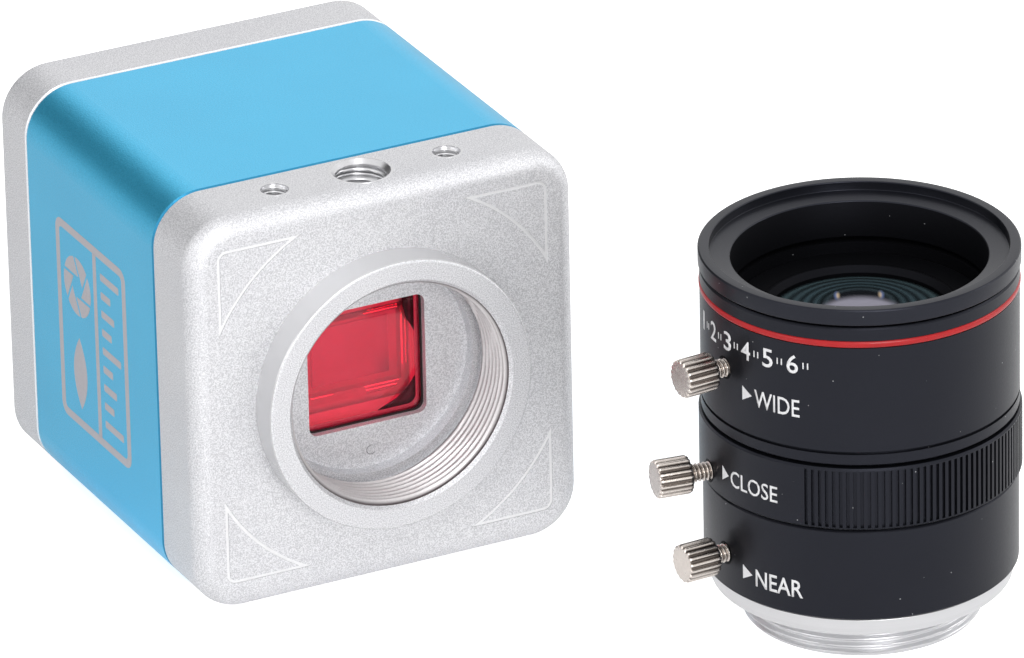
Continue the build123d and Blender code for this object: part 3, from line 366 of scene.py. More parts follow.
def painted_coating_reflection(tree, place, rings):
    """Tint and strength of a painted reflection in a coated front lens. Painted rings, a list of (radius in
    mm, colour), lie about the lens's axis, a pale painted disc of the sky lies nearer the front, and two
    painted glints lie on the far side of it. The places are measured across the camera's view and away from
    it."""
    off, radius = from_lens_axis(tree, place)
    outermost = rings[-1][0]
    ramp = add_node(tree, "ValToRGB", {"Fac": reckon(tree, "DIVIDE", radius, outermost * MM)})
    stops = ramp.color_ramp.elements
    for at, colour in rings[1:-1]:
        stops.new(at / outermost).color = srgb(colour)
    stops[0].color, stops[-1].color = srgb(rings[0][1]), srgb(rings[-1][1])
    across = reckon_vector(tree, "DOT_PRODUCT", off, (0.897, -0.441, 0))
    along = reckon_vector(tree, "DOT_PRODUCT", off, (0.441, 0.897, 0))
    either = reckon(tree, "ABSOLUTE", across)
    # Painted reflection of the sky and two painted glints, fixed on the glass.
    painted_sky_disc = spot(tree, across, along, (0, -2.7), (5.4, 4.7), 0.35)
    painted_glints = spot(tree, either, along, (2.3, 1.8), (0.45, 1.7), 0.9)
    inner = spot(tree, either, along, (2.1, 1.8), (0.4, 1.7), 0.8)
    pale = mix(tree, painted_sky_disc, ramp.outputs["Color"], "#a19fad")
    tint = mix(tree, painted_glints, pale, mix(tree, inner, "#8498cc", "#e8cfae"))
    return tint, remap(tree, reckon(tree, "MAXIMUM", painted_sky_disc, painted_glints), 0.7, 0.9)


def thin_glass(name, dark, light, glaze, rings=None):
    """Glass that dyes what passes straight through and mirrors the rest by Fresnel's law. With rings, the
    mirror image takes the painted tint of painted_coating_reflection, and a thin painted veil, a diffuse
    surface of the same tint, stands in for stray light."""
    finish, tree, place = new_material(name)
    cloud = noise(tree, place, 6, 1.0)
    through = add_node(tree, "BsdfTransparent", {"Color": mix(tree, cloud, dark, light)})
    smear = remap(tree, cloud, 0.0, glaze)
    mirror = add_node(tree, "BsdfGlossy", {"Color": srgb("#ffffff"), "Roughness": smear})
    if rings:
        tint, strength = painted_coating_reflection(tree, place, rings)
        tree.links.new(tint, mirror.inputs["Color"])
        # Painted glow: a diffuse veil in the painted reflection's tint, for stray light.
        haze = add_node(tree, "BsdfDiffuse", {"Color": tint})
        through = add_node(tree, "MixShader", {0: strength, 1: through.outputs[0], 2: haze.outputs[0]})
    share = add_node(tree, "Fresnel", {"IOR": 1.5})
    both = add_node(tree, "MixShader", {0: share.outputs[0], 1: through.outputs[0], 2: mirror.outputs[0]})
    add_node(tree, "OutputMaterial", {"Surface": both.outputs[0]})
    return finish


red_filter = thin_glass("red_filter_glass", "#ff98b4", "#ffa2bc", 0.06)
cover_glass = thin_glass("sensor_cover_glass", "#f6f6f4", "#ffffff", 0.06)
front_glass_painted_reflection = thin_glass("coated_front_glass", "#b6c6cc", "#c0ced4", 0.04, [
    (0.0, "#202226"), (2.8, "#26292e"), (3.5, "#46545a"), (4.0, "#20272a"), (4.6, "#4c5f66"),
    (5.1, "#252d31"), (5.7, "#536870"), (6.3, "#283135"), (7.0, "#596e75"), (7.7, "#2b3438"),
    (8.5, "#5e747a"), (9.4, "#1c2225")])

lens_glass, tree, shader, place = new_finish(
    "coated_lens_glass", {"Base Color": srgb("#f2f6f8"), "IOR": 1.6, "Transmission Weight": 1.0,
                          "Thin Film Thickness": 330.0, "Thin Film IOR": 1.38})
tree.links.new(remap(tree, noise(tree, place, 5), 0.0, 0.02), shader.inputs["Roughness"])
print("finishes:", red_filter.name, cover_glass.name, front_glass_painted_reflection.name, lens_glass.name)

# %% [markdown]
# The parts that show little, or only from the back, still get the finish of the real thing: the rubber of
# the gasket, the alumina package and silicon of the sensor, steel screws, solder mask on the boards, moulded
# plastic and brass. One function covers them, with a grain of the right size for each.


# %% Inner and rear finishes
def plain_finish(name, dark, light, grain_mm, low, high, depth, **sockets):
    """A surface between two tones, with a noise of one grain size behind its tone, roughness and bump."""
    named = {key.replace("_", " "): value for key, value in sockets.items()}
    finish, tree, shader, place = new_finish(name, named)
    grain = noise(tree, place, grain_mm)
    set_surface(tree, shader, mix(tree, grain, dark, light), remap(tree, grain, low, high), grain, 0.4, depth)
    return finish


finishes = {
    "cast_aluminium": cast_aluminium,
    "blue_anodised": blue_anodised,
    "nickel": nickel,
    "black_metal": ring_black,
    "red_line": red_enamel,
    "bright_flange": bright_flange,
    "red_filter": red_filter,
    "clear_glass": lens_glass,
    "steel_screw": plain_finish("plain_steel", "#8a8b8d", "#a6a7a9", 0.3, 0.25, 0.42, 0.004, Metallic=1.0),
    "black_rubber": plain_finish("black_rubber", "#0a0a0b", "#161617", 0.15, 0.6, 0.85, 0.02),
    "black_plastic": plain_finish("moulded_black_plastic", "#101012", "#1a1a1c", 0.3, 0.4, 0.6, 0.01),
    "ceramic_package": plain_finish("alumina", "#e6e0d8", "#f6f2ec", 0.3, 0.45, 0.6, 0.006),
    "silicon": plain_finish("polished_silicon", "#e0d8e2", "#ece6ee", 2.0, 0.12, 0.2, 0.001, Metallic=0.9),
    "green_board": plain_finish("solder_mask", "#0d3b20", "#14502c", 1.2, 0.25, 0.4, 0.01),
    "chip_resin": plain_finish("moulded_resin", "#17181a", "#222326", 0.2, 0.5, 0.7, 0.01),
    "brass_spacer": plain_finish("plain_brass", "#b08d3e", "#c9a24b", 0.4, 0.25, 0.4, 0.004, Metallic=1.0),
    "lamp_rod": plain_finish("frosted_lamp_rod", "#dfe5e0", "#f0f4f0", 0.3, 0.3, 0.5, 0.006,
                             Transmission_Weight=0.3),
    "blade_steel": plain_finish("blackened_steel", "#131315", "#1e1e21", 0.3, 0.35, 0.5, 0.003),
}
for part in frame["record"]["subparts"]:
    slots = cad_nodes[part["node"]].data.materials
    slots.clear()
    slots.append(finishes[part["material_slot"]])
for name in ("lens_barrel", "front_cell", "front_retainer", "front_spacer_ring", "iris_retainer"):
    cad_nodes[name].data.materials[0] = bore_black_and_painted_shade
pale_nylon = plain_finish("pale_nylon", "#d9d5cf", "#ece8e2", 0.4, 0.4, 0.6, 0.008)
cad_nodes["sensor_glass"].data.materials[0] = cover_glass
cad_nodes["front_element"].data.materials[0] = front_glass_painted_reflection
cad_nodes["filter_frame"].data.materials[0] = pale_nylon

# %% [markdown]
# Now the new shapes. Each is a grid of points that numpy works out in one go, with rows along one parameter
# and columns along the other. The grid becomes a mesh by joining each point to its three neighbours, and
# where the shape closes on itself the last row or column joins the first. Merging doubled points then
# closes the poles, and one call turns all faces outwards.


# %% From a grid of points to a mesh
def add_piece(name, mesh):
    """Puts a mesh into the scene."""
    piece = bpy.data.objects.new(name, mesh)
    bpy.context.scene.collection.objects.link(piece)
    return piece


def read_points(mesh):
    """The points of a mesh as an array of (x, y, z), in the unit that they are stored in."""
    flat = np.empty(len(mesh.vertices) * 3, np.float32)
    mesh.vertices.foreach_get("co", flat)
    return flat.reshape(-1, 3)


def grid_mesh(name, points, close_rows=False, close_columns=False, sharp=35):
    """A mesh from points[row, column] in millimetres. Each face joins (i, j), (i + 1, j), (i + 1, j + 1)
    and (i, j + 1), counted round to the start where the grid closes."""
    rows, columns = points.shape[:2]
    i = np.arange(rows if close_rows else rows - 1)[:, None]
    j = np.arange(columns if close_columns else columns - 1)[None, :]
    corners = [(i, j), (i + 1, j), (i + 1, j + 1), (i, j + 1)]
    faces = np.stack([(a % rows) * columns + b % columns for a, b in corners], -1).reshape(-1, 4)
    mesh = bpy.data.meshes.new(name)
    mesh.vertices.add(rows * columns)
    mesh.vertices.foreach_set("co", (points.reshape(-1, 3) * MM).astype(np.float32).ravel())
    mesh.loops.add(faces.size)
    mesh.loops.foreach_set("vertex_index", faces.astype(np.int32).ravel())
    mesh.polygons.add(len(faces))
    mesh.polygons.foreach_set("loop_start", np.arange(0, faces.size, 4, dtype=np.int32))
    mesh.update(calc_edges=True)
    work = bmesh.new()
    work.from_mesh(mesh)
    bmesh.ops.remove_doubles(work, verts=work.verts, dist=2e-7)
    bmesh.ops.dissolve_degenerate(work, edges=work.edges, dist=1e-7)
    bmesh.ops.recalc_face_normals(work, faces=work.faces)
    work.to_mesh(mesh)
    work.free()
    mesh.polygons.foreach_set("use_smooth", np.ones(len(mesh.polygons), bool))
    mesh.set_sharp_from_angle(angle=math.radians(sharp))
    return add_piece(name, mesh)


def dress(piece, body, slot, finish, *replaced):
    """Gives a piece its finish and sets it on a body, in the place of any CAD nodes named. The slot is not
    used.
    """
    piece.data.materials.clear()
    piece.data.materials.append(finish)
    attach(piece, body)
    if replaced:
        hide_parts(*replaced)
    return piece


print("a grid of 3 by 4 points has", 2 * 3, "faces, or", 3 * 4, "where it closes both ways")

# %% [markdown]
# Most pieces here are round, so they are drawn as a profile of (radius, height) points that is carried
# round an axis. Nothing turned on a lathe has a truly sharp edge. One function rounds the profile's
# corners, and one carries it round, either about the lens or about any hole in the head.


# %% Turned pieces
def eased(profile, ease, steps=4):
    """A closed profile with rounded corners. Each corner P, with a start A and an end B a little way
    along its two sides, becomes the curve (1 - t)^2 A + 2 t (1 - t) P + t^2 B."""
    p = np.array(profile, float)
    before, after = np.roll(p, 1, 0) - p, np.roll(p, -1, 0) - p
    length_before = np.linalg.norm(before, axis=1, keepdims=True)
    length_after = np.linalg.norm(after, axis=1, keepdims=True)
    reach = np.minimum(np.broadcast_to(np.asarray(ease, float).reshape(-1, 1), (len(p), 1)),
                       0.45 * np.minimum(length_before, length_after))
    a = (p + before / length_before * reach)[:, None]
    b = (p + after / length_after * reach)[:, None]
    t = np.linspace(0, 1, steps + 1)[None, :, None]
    return ((1 - t) ** 2 * a + 2 * t * (1 - t) * p[:, None] + t**2 * b).reshape(-1, 2)


def full_turn(count):
    """Angles that divide one turn evenly, from 0 on."""
    return np.arange(count) * 2 * np.pi / count


def round_axis(radius, height, angle, origin, right, out):
    """Points at a radius, height and angle round an axis. The point is origin + radius cos(angle) right
    + radius sin(angle) up + height out, where up is out x right."""
    right, out = np.array(right, float), np.array(out, float)
    up = np.cross(out, right)
    r, h, a = np.broadcast_arrays(radius, height, angle)
    r, h, a = r[..., None], h[..., None], a[..., None]
    return np.array(origin, float) + r * np.cos(a) * right + r * np.sin(a) * up + h * out


LENS = ((lens_x, lens_y, 0), (1, 0, 0), (0, 0, 1))


def turned(name, profile, axis, columns=192, sharp=35):
    """A closed profile of (radius, height) carried once round an axis."""
    p = np.asarray(profile, float)
    points = round_axis(p[:, :1], p[:, 1:], full_turn(columns), *axis)
    return grid_mesh(name, points, close_rows=True, close_columns=True, sharp=sharp)


square = [(1, 0), (2, 0), (2, 1), (1, 1)]
print("a square profile of 4 corners has", len(eased(square, 0.1)), "points once eased")

# %% [markdown]
# A screw thread is a turned surface whose radius rises and falls as it winds. At a height z and an angle a
# it has wound z / pitch - a / (2 pi) turns, and the radius depends only on the part of that number after
# the point. So a thread needs no sweep along a helix: it is one formula on a grid, and it meets itself
# after each turn. Twelve rows to a pitch are enough for its flanks to look straight.


# %% The thread formula
def thread_wave(turns):
    """Height of a 60 degree thread, from 0 at the root to 1 at the crest: the distance to the nearest
    half turn, stretched a little and cut flat at both ends."""
    return np.clip(np.abs((turns % 1) * 2 - 1) * 1.35 - 0.17, 0, 1)


def faded(height, low, high, run):
    """1 along the thread, falling smoothly to 0 at both of its ends over the given run."""
    near = np.clip(np.minimum(height - low, high - height) / run, 0, 1)
    return near * near * (3 - 2 * near)


def threaded_skin(name, axis, root, crest, low, high, pitch, columns, behind=0.06, run=None):
    """A thread as a thin closed skin: radius = root - (root - crest) wave, with a plain back wall that lies
    in the metal behind the root: outside it in a hole, and inside it, so less than 0, on a screw."""
    rows = int((high - low) / pitch * 12)
    height = np.linspace(low, high, rows)[:, None]
    angle = full_turn(columns)
    wave = thread_wave(height / pitch - angle / (2 * np.pi)) * faded(height, low, high, run or pitch * 0.8)
    inner = round_axis(root - (root - crest) * wave, height, angle, *axis)
    back = round_axis(root + behind, height[::-1], angle, *axis)
    return grid_mesh(name, np.concatenate([inner, back]), close_rows=True, close_columns=True, sharp=50)


def store_root_darkening(piece, seat, outward, clean, dirty, low, high):
    """Stores root darkening on a piece that is round about an axis: from 0 at the plain radius to 1 at the
    darkest one, but only between two distances along the axis from its seat."""
    off = read_points(piece.data) / MM - np.array(seat)
    along = off @ np.array(outward)
    radius = np.linalg.norm(off - along[:, None] * np.array(outward), axis=1)
    dirt = np.clip((clean - radius) / (clean - dirty), 0, 1) * ((along > low) & (along < high))
    layer = piece.data.attributes.new("root_darkening", "FLOAT", "POINT")
    layer.data.foreach_set("value", dirt.astype(np.float32))


well = ((0, rim_y, axis_z), (1, 0, 0), (0, 1, 0))
thread_start, thread_end = 0.36, 6.6
mount_major, mount_minor = 12.69, 12.22
well_thread = threaded_skin(
    "well_thread", well, mount_major, mount_minor, thread_start, thread_end, mount_pitch, 220)
store_root_darkening(well_thread, well[0], well[2], 12.4, 12.66, 0.3, 6.7)
dress(well_thread, "root", "cast_aluminium", tapped_aluminium)
print("well thread:", round((thread_end - thread_start) / mount_pitch, 1), "turns")

# %% [markdown]
# A line is milled near each corner of the face: along the top, round the corner, down the side, and back by
# an arc. The cutter leaves a smooth floor, much brighter than the blasted face. The floor is a closed band
# between two outlines, one of which is the other drawn in by the width of the line.


# %% Milled corner lines
def corner_outline(reach, arc_radius, bend_radius, arc_steps=24):
    """The upper right line: a quarter circle in the corner, then an arc about the face's middle. They meet
    the straight sides, where x or z is the reach, at sqrt(arc_radius^2 - reach^2) from the middle."""
    end = math.sqrt(arc_radius**2 - reach**2)
    bend = np.linspace(np.pi / 2, 0, 9)
    sweep = np.linspace(math.atan2(end, reach), math.atan2(reach, end), arc_steps)
    corner = reach - bend_radius + bend_radius * np.stack([np.cos(bend), np.sin(bend)], -1)
    return np.concatenate([corner, arc_radius * np.stack([np.cos(sweep), np.sin(sweep)], -1)])


milled = plain_finish("milled_aluminium", "#e2e2e4", "#f0f0f1", 0.3, 0.26, 0.36, 0.002, Metallic=0.3)
line_reach, line_arc, line_bend, line_width = 19.19, 21.41, 1.09, 0.33
outer_line = corner_outline(line_reach, line_arc, line_bend)
inner_line = corner_outline(line_reach - line_width, line_arc + line_width, line_bend - line_width)
floor_depth, line_depth = 0.09, 0.19
section = [(line, depth) for line, depth in zip(
    (outer_line, outer_line, inner_line, inner_line), (line_depth, floor_depth, floor_depth, line_depth))]
for side, side_name in ((-1, "left"), (1, "right")):
    for rise, rise_name in ((-1, "lower"), (1, "upper")):
        band = np.stack([
            np.stack([line[:, 0] * side, np.full(len(line), face_y + depth), axis_z + line[:, 1] * rise], -1)
            for line, depth in section])
        floor = grid_mesh(f"{rise_name}_{side_name}_line", band, close_rows=True, close_columns=True)
        dress(floor, "root", "cast_aluminium", milled)
print("four corner lines,", line_width, "mm wide")

# %% [markdown]
# Three tapped holes line the top of the front cap: a stand thread of 1/4 inch by 20 turns between two M3
# holes. Each has a countersunk mouth, whose fresh cut shines as a bright ring. The mouth is a small cone
# that starts flush with the top face and ends at the crests of the thread.

# %% Tapped holes in the top
hole_y = face_y + 5.05
m3_hole = (1.5, 1.22, 0.5, 4.5)
for name, hole_x, (major, minor, pitch, depth) in (
        ("tripod_hole", 0.0, (3.175, 2.55, 1.27, 5.1)), ("top_hole_left", -10.0, m3_hole),
        ("top_hole_right", 10.0, m3_hole)):
    hole = ((hole_x, hole_y, head_top), (1, 0, 0), (0, 0, -1))
    thread = threaded_skin(name + "_thread", hole, major - 0.01, minor, 0.25, depth, pitch, 72)
    dress(thread, "root", "cast_aluminium", bright_flange)
    cone = [(major + 0.28, -0.012), (major + 0.30, 0.03), (major + 0.05, 0.08), (major + 0.04, 0.75),
            (minor + 0.12, 0.75), (minor + 0.16, 0.5), (major + 0.05, -0.004)]
    mouth = turned(name + "_mouth", cone, hole, 72)
    dress(mouth, "root", "cast_aluminium", bright_flange)
print("three tapped holes and their mouths")

# %% [markdown]
# Under the lens is the part that screws into the head: a bright flange, a short undercut, and four turns
# of the same thread as in the well. The outside is one turned profile from the floor up to the black
# rings. Inside, a tube with three slots guides the rear lenses. Its upper edge is a step function of the
# angle: low where a guide pin needs its slot, high elsewhere.

# %% Flange, thread and guide tube
flange_profile = eased([
    (10.9, 0.0), (12.16, 0.0), (12.3, 0.14), (12.3, 3.45), (12.1, 3.5), (12.1, 4.1), (15.55, 4.1),
    (15.9, 4.45), (16.2, 6.1), (10.9, 6.1)], [0.1, 0.05, 0.05, 0.03, 0.03, 0.05, 0.12, 0.12, 0.1, 0.1])
flange = turned("lens_flange", flange_profile, LENS, 240)
dress(flange, "root", "bright_flange", bright_flange, "lens_mount")

mount_thread = threaded_skin(
    "lens_screw_thread", LENS, 12.28, mount_major, 0.12, 3.5, mount_pitch, 240, behind=-0.08, run=0.5)
dress(mount_thread, "root", "bright_flange", bright_flange)

tube_inner, tube_outer, tube_foot, slot_floor, tube_top = 10.9, 12.0, 6.0, 11.95, 15.6
slot_half = math.radians(3.15)
slot_middles = np.radians(focus_screw_degrees + 60 + 120 * np.arange(3))
edges = np.concatenate([slot_middles - slot_half, slot_middles + slot_half])
angle = np.sort(np.concatenate([full_turn(120), edges - 1e-4, edges + 1e-4]) % (2 * np.pi))
away = np.abs((angle[:, None] - slot_middles[None, :] + np.pi) % (2 * np.pi) - np.pi).min(1)
top = np.where(away < slot_half, slot_floor, tube_top)[None, :]
tube = np.concatenate([round_axis(radius, end, angle[None, :], *LENS) for radius, end in (
    (tube_inner, tube_foot), (tube_outer, tube_foot), (tube_outer, top), (tube_inner, top))])
guide_tube = grid_mesh("rear_guide_tube", tube, close_rows=True, close_columns=True, sharp=30)
dress(guide_tube, "root", "bright_flange", bore_black_and_painted_shade)
seat_profile = [(10.95, 6.05), (13.12, 6.05), (13.12, 9.5), (11.95, 9.5), (11.95, 6.2)]
mount_seat = turned("mount_spigot", seat_profile, LENS, 120)
dress(mount_seat, "root", "bright_flange", bore_black_and_painted_shade)
mount_pieces = (flange, mount_thread, guide_tube, mount_seat)
print("lens mount:", [len(piece.data.vertices) for piece in mount_pieces], "points")

# %% [markdown]
# The front of the lens is a rim with a shallow step inside it and a dished floor round the mouth. Its edges
# are turned crisp, with only a fine chamfer to catch the light. The bore below the mouth is lined with a
# darker, rougher black. This lining is partly the matte black of a lens bore and partly painted shade of the
# deep bore. The red line is a bead of enamel that stands a hair proud of the groove it fills.

# %% Bezel and red line
bezel_profile = eased([
    (13.4, 36.5), (15.12, 36.5), (15.12, 39.95), (16.68, 39.95), (16.8, 40.07), (16.8, 41.6), (16.65, 41.75),
    (15.68, 41.75), (15.6, 41.67), (15.6, 40.75), (13.5, 40.5), (13.4, 40.4)],
    [0.05, 0.05, 0.05, 0.04, 0.04, 0.04, 0.04, 0.03, 0.03, 0.05, 0.04, 0.04])
bezel = turned("front_rim", bezel_profile, LENS, 256)
dress(bezel, "zoom_ring", "black_metal", rim_black, "front_bezel")
# Painted shade: a thin dark skin inside the front bore, partly the bore's matte black.
lining_profile = [(13.37, 36.45), (13.42, 36.45), (13.42, 40.36), (13.39, 40.4), (13.37, 40.36)]
bore_shade_lining = turned("rim_lining_painted_shade", lining_profile, LENS, 192)
dress(bore_shade_lining, "zoom_ring", "black_metal", bore_black_and_painted_shade)
line_profile = eased([(15.97, 37.42), (16.74, 37.42), (16.74, 38.18), (15.97, 38.18)], [0.02, 0.3, 0.3, 0.02])
line = turned("red_enamel_line", line_profile, LENS, 256)
dress(line, "zoom_ring", "red_line", red_enamel, "accent_ring")
print("bezel and red line:", len(bezel.data.vertices) + len(line.data.vertices), "points")

# %% [markdown]
# Each ring is locked by a small screw with a knurled head. The knurl is a run of coarse straight ribs that
# goes to the very edge of the flat face, so the face's outline is a cog. The head is one grid: the radius is
# the profile's own, less a rib wave that is at work only on the side of the head. The shank is a fine thread,
# made by the thread formula once more. Grooves and thread roots turn darker by their depth, which comes from
# the radius. Round each screw a dark washer on the ring is painted shade, for the shade in the hole round the
# shank.


# %% Knurled lock screws
knurl_ribs, head_length = 18, 3.75
shank_length, shank_pitch, shank_core, shank_crest = 3.6, 0.45, 0.78, 1.0


def knurled_head(depth=0.24):
    """Radius and height of the head, with 10 columns to a rib. The wave is the cube root of a sine,
    which is nearly square, so that ribs are as wide as the grooves between them."""
    profile = np.array([
        (0, head_length), (1.0, head_length), (1.86, head_length), (1.98, 3.7), (2.04, 3.59), (2.05, 3.4),
        (2.05, 2.0), (2.05, 0.4), (2.02, 0.16), (1.92, 0.03), (1.75, 0.0), (0.9, 0.0), (0.0, 0.0)])
    side = np.array([0, 0, 0.35, 0.9, 1, 1, 1, 1, 1, 0.8, 0.25, 0, 0])[:, None]
    angle = full_turn(knurl_ribs * 10)
    wave = 0.5 - 0.5 * np.cbrt(np.sin(angle * knurl_ribs))
    return profile[:, :1] - depth * wave * side, profile[:, 1:], angle


def threaded_shank(columns=48):
    """Radius and height of a fine thread from the head inwards, closed at both ends by a pole."""
    height = np.linspace(-shank_length, 0.05, int(shank_length / shank_pitch * 14))[:, None]
    angle = full_turn(columns)
    wave = thread_wave(height / shank_pitch - angle / (2 * np.pi)) * faded(height, -shank_length, 0.3, 0.3)
    radius = shank_core + (shank_crest - shank_core) * wave
    pole = np.zeros((1, columns))
    return np.concatenate([pole, radius, pole]), np.concatenate([height[:1], height, height[-1:]]), angle


def painted_hole_shade(name, ring_radius, screw_angle, screw_z, inner=1.03, outer=1.3, columns=48):
    """Painted shade round a tapped hole in a ring: a flat dark washer that follows the curve of the ring and
    stands for the shade in the hole round the shank. At a distance t sideways the ring's surface lies at
    sqrt(R^2 - t^2) from the lens's axis."""
    angle = full_turn(columns)
    size = np.array([inner, inner + 0.04, outer - 0.05, outer, outer, inner])[:, None]
    lift = np.array([-0.05, 0.012, 0.012, -0.02, -0.3, -0.3])[:, None]
    sideways, rise = size * np.cos(angle), size * np.sin(angle)
    radius = np.sqrt(ring_radius**2 - sideways**2) + lift
    turn = math.radians(screw_angle)
    x = lens_x + radius * math.cos(turn) - sideways * math.sin(turn)
    y = lens_y + radius * math.sin(turn) + sideways * math.cos(turn)
    points = np.stack([x, y, screw_z + rise], -1)
    return grid_mesh(name, points, close_rows=True, close_columns=True, sharp=50)


for ring, screw_angle, screw_z, head_seat in (
        ("zoom", 184.4, 31.8, 18.25), ("iris", 172.5, 18.55, 19.15),
        ("focus", focus_screw_degrees, 10.3, 18.05)):
    turn = math.radians(screw_angle)
    outward = (math.cos(turn), math.sin(turn), 0)
    seat = (lens_x + head_seat * outward[0], lens_y + head_seat * outward[1], screw_z)
    axis = (seat, (0, 0, 1), outward)
    knurl, thread = (round_axis(*shape, *axis) for shape in (knurled_head(), threaded_shank()))
    head = grid_mesh(f"{ring}_screw_head", knurl, close_columns=True, sharp=38)
    store_root_darkening(head, seat, outward, 2.0, 1.84, 0.06, head_length - 0.1)
    dress(head, f"{ring}_lock_screw", "nickel", nickel, f"{ring}_lock_screw")
    shank = grid_mesh(f"{ring}_screw_thread", thread, close_columns=True, sharp=50)
    store_root_darkening(shank, seat, outward, 0.93, shank_core, -4.0, 0.1)
    dress(shank, f"{ring}_lock_screw", "nickel", nickel)
    # Painted shade: a dark washer round each screw, for the shade in its hole.
    rim = painted_hole_shade(f"{ring}_screw_hole_shade", ring_radii[ring], screw_angle, screw_z)
    dress(rim, f"{ring}_ring", "black_metal", bore_black_and_painted_shade)
print("lock screws:", knurl_ribs, "ribs and", round(shank_length / shank_pitch), "turns of thread each")

# %% [markdown]
# Marks on a lens are printed with thick white ink, and the design on the sleeve is etched through the blue
# skin to the bare metal. Both start as flat shapes on a sheet, in millimetres. The sheet is then cut into
# narrow strips and laid on the object, so that it can follow the curve of a ring without faceting, and a
# Solidify modifier gives it the thickness of the ink.


# %% Flat artwork
def draw_word(sheet, words, left, middle, width, height, weight=0.0):
    """Adds words in a plain face, stretched to a width and a height, with their middle at a height."""
    curve = bpy.data.curves.new("words", "FONT")
    curve.body = words
    curve.resolution_u = 3
    curve.offset = weight
    holder = bpy.data.objects.new("words", curve)
    bpy.context.scene.collection.objects.link(holder)
    mesh = bpy.data.meshes.new_from_object(holder.evaluated_get(bpy.context.evaluated_depsgraph_get()))
    flat = read_points(mesh)
    low, high = flat.min(0), flat.max(0)
    flat[:, 0] = left + (flat[:, 0] - low[0]) / (high[0] - low[0]) * width
    flat[:, 1] = middle + ((flat[:, 1] - low[1]) / (high[1] - low[1]) - 0.5) * height
    mesh.vertices.foreach_set("co", flat.ravel())
    sheet.from_mesh(mesh)
    bpy.data.objects.remove(holder)
    bpy.data.curves.remove(curve)
    bpy.data.meshes.remove(mesh)


def draw_shape(sheet, outline):
    """Adds one filled polygon."""
    sheet.faces.new([sheet.verts.new((x, y, 0)) for x, y in outline])


def draw_loop(sheet, outer, inner):
    """Adds the band between two outlines that have the same number of points."""
    rings = [[sheet.verts.new((x, y, 0)) for x, y in outline] for outline in (outer, inner)]
    count = len(rings[0])
    for k in range(count):
        sheet.faces.new([rings[0][k], rings[0][(k + 1) % count], rings[1][(k + 1) % count], rings[1][k]])


def lay_artwork(name, sheet, wrap, strip, thickness):
    """Cuts the sheet into strips, moves its points by wrap(x, y), and gives it a thickness outwards."""
    bmesh.ops.triangulate(sheet, faces=sheet.faces)
    xs = [v.co.x for v in sheet.verts]
    for cut in np.arange(min(xs) + strip, max(xs), strip):
        everything = sheet.verts[:] + sheet.edges[:] + sheet.faces[:]
        bmesh.ops.bisect_plane(sheet, geom=everything, plane_co=(cut, 0, 0), plane_no=(1, 0, 0))
    mesh = bpy.data.meshes.new(name)
    sheet.to_mesh(mesh)
    sheet.free()
    flat = read_points(mesh).astype(float)
    mesh.vertices.foreach_set("co", (wrap(flat[:, 0], flat[:, 1]) * MM).astype(np.float32).ravel())
    mesh.update()
    piece = add_piece(name, mesh)
    ink = piece.modifiers.new("ink", "SOLIDIFY")
    ink.thickness = thickness * MM
    ink.offset = 1.0
    return piece


ink_strip, ink_thickness = 0.4, 0.03
white_ink = plain_finish("white_ink", "#cfcfd1", "#e4e4e6", 0.4, 0.4, 0.6, 0.003)


def print_on_ring(name, sheet, ring, start_degrees):
    """Prints a sheet on a ring of the lens: x is the length along the ring from an angle, y the height."""
    radius = ring_radii[ring]

    def wrap(x, y):
        return round_axis(radius, y, math.radians(start_degrees) + x / radius, *LENS)

    marks = lay_artwork(name, sheet, wrap, ink_strip, ink_thickness)
    dress(marks, f"{ring}_ring", "bright_flange", white_ink)


print("artwork is cut into", ink_strip, "mm strips: on the zoom ring each strip bulges by",
      round(ink_strip**2 / 8 / ring_radii["zoom"] * 1000, 1), "microns")

# %% [markdown]
# The three rings carry a small arrowhead and the word for one end of their travel, as on any lens of this
# kind. Round the top of the zoom ring runs a plain scale: numbers with ticks between them.


# %% Printed marks on the rings
def arrow(sheet, left, middle, width, height):
    """Adds an arrowhead that points to the right."""
    draw_shape(sheet, [(left, middle + height / 2), (left, middle - height / 2), (left + width, middle)])


for ring, start_degrees, arrow_place, word, word_place, weight in (
        ("zoom", -165.9, (0.25, 30.05, 1.35, 1.6), "WIDE", (1.95, 30.0, 5.5, 1.95), 0.004),
        ("iris", -176.9, (0.2, 19.75, 1.15, 1.6), "CLOSE", (1.7, 19.75, 6.55, 1.85), 0.004),
        ("focus", -166.9, (0.2, 9.35, 1.4, 1.6), "NEAR", (2.05, 9.25, 5.8, 1.95), 0.01)):
    sheet = bmesh.new()
    arrow(sheet, *arrow_place)
    draw_word(sheet, word, *word_place, weight)
    print_on_ring(f"{ring}_mark", sheet, ring, start_degrees)

sheet = bmesh.new()
scale_z, number_step, tick_height, tick_width = 35.0, 2.95, 0.7, 0.13
for k, number in enumerate("123456"):
    left = 0.6 + k * number_step
    inset, wide = (0.4, 0.5) if number == "1" else (0.0, 1.3)
    draw_word(sheet, number, left + inset, scale_z, wide, 2.1, 0.008)
    for tick in (left + 1.8, left + 2.3):
        low, high = scale_z - tick_height / 2, scale_z + tick_height / 2
        draw_shape(sheet, [(tick, low), (tick + tick_width, low), (tick + tick_width, high), (tick, high)])
print_on_ring("zoom_scale", sheet, "zoom", -198.0)
print("marks on three rings and a scale of six numbers")

# %% [markdown]
# The side of the sleeve has an etched panel: a frame with rounded corners, divided in two. In it stand a
# six-bladed aperture over a lens section, and a column of bars like a focus scale. A blade of the aperture
# lies between two lines that each run along one side of the middle hexagon out to the rim.


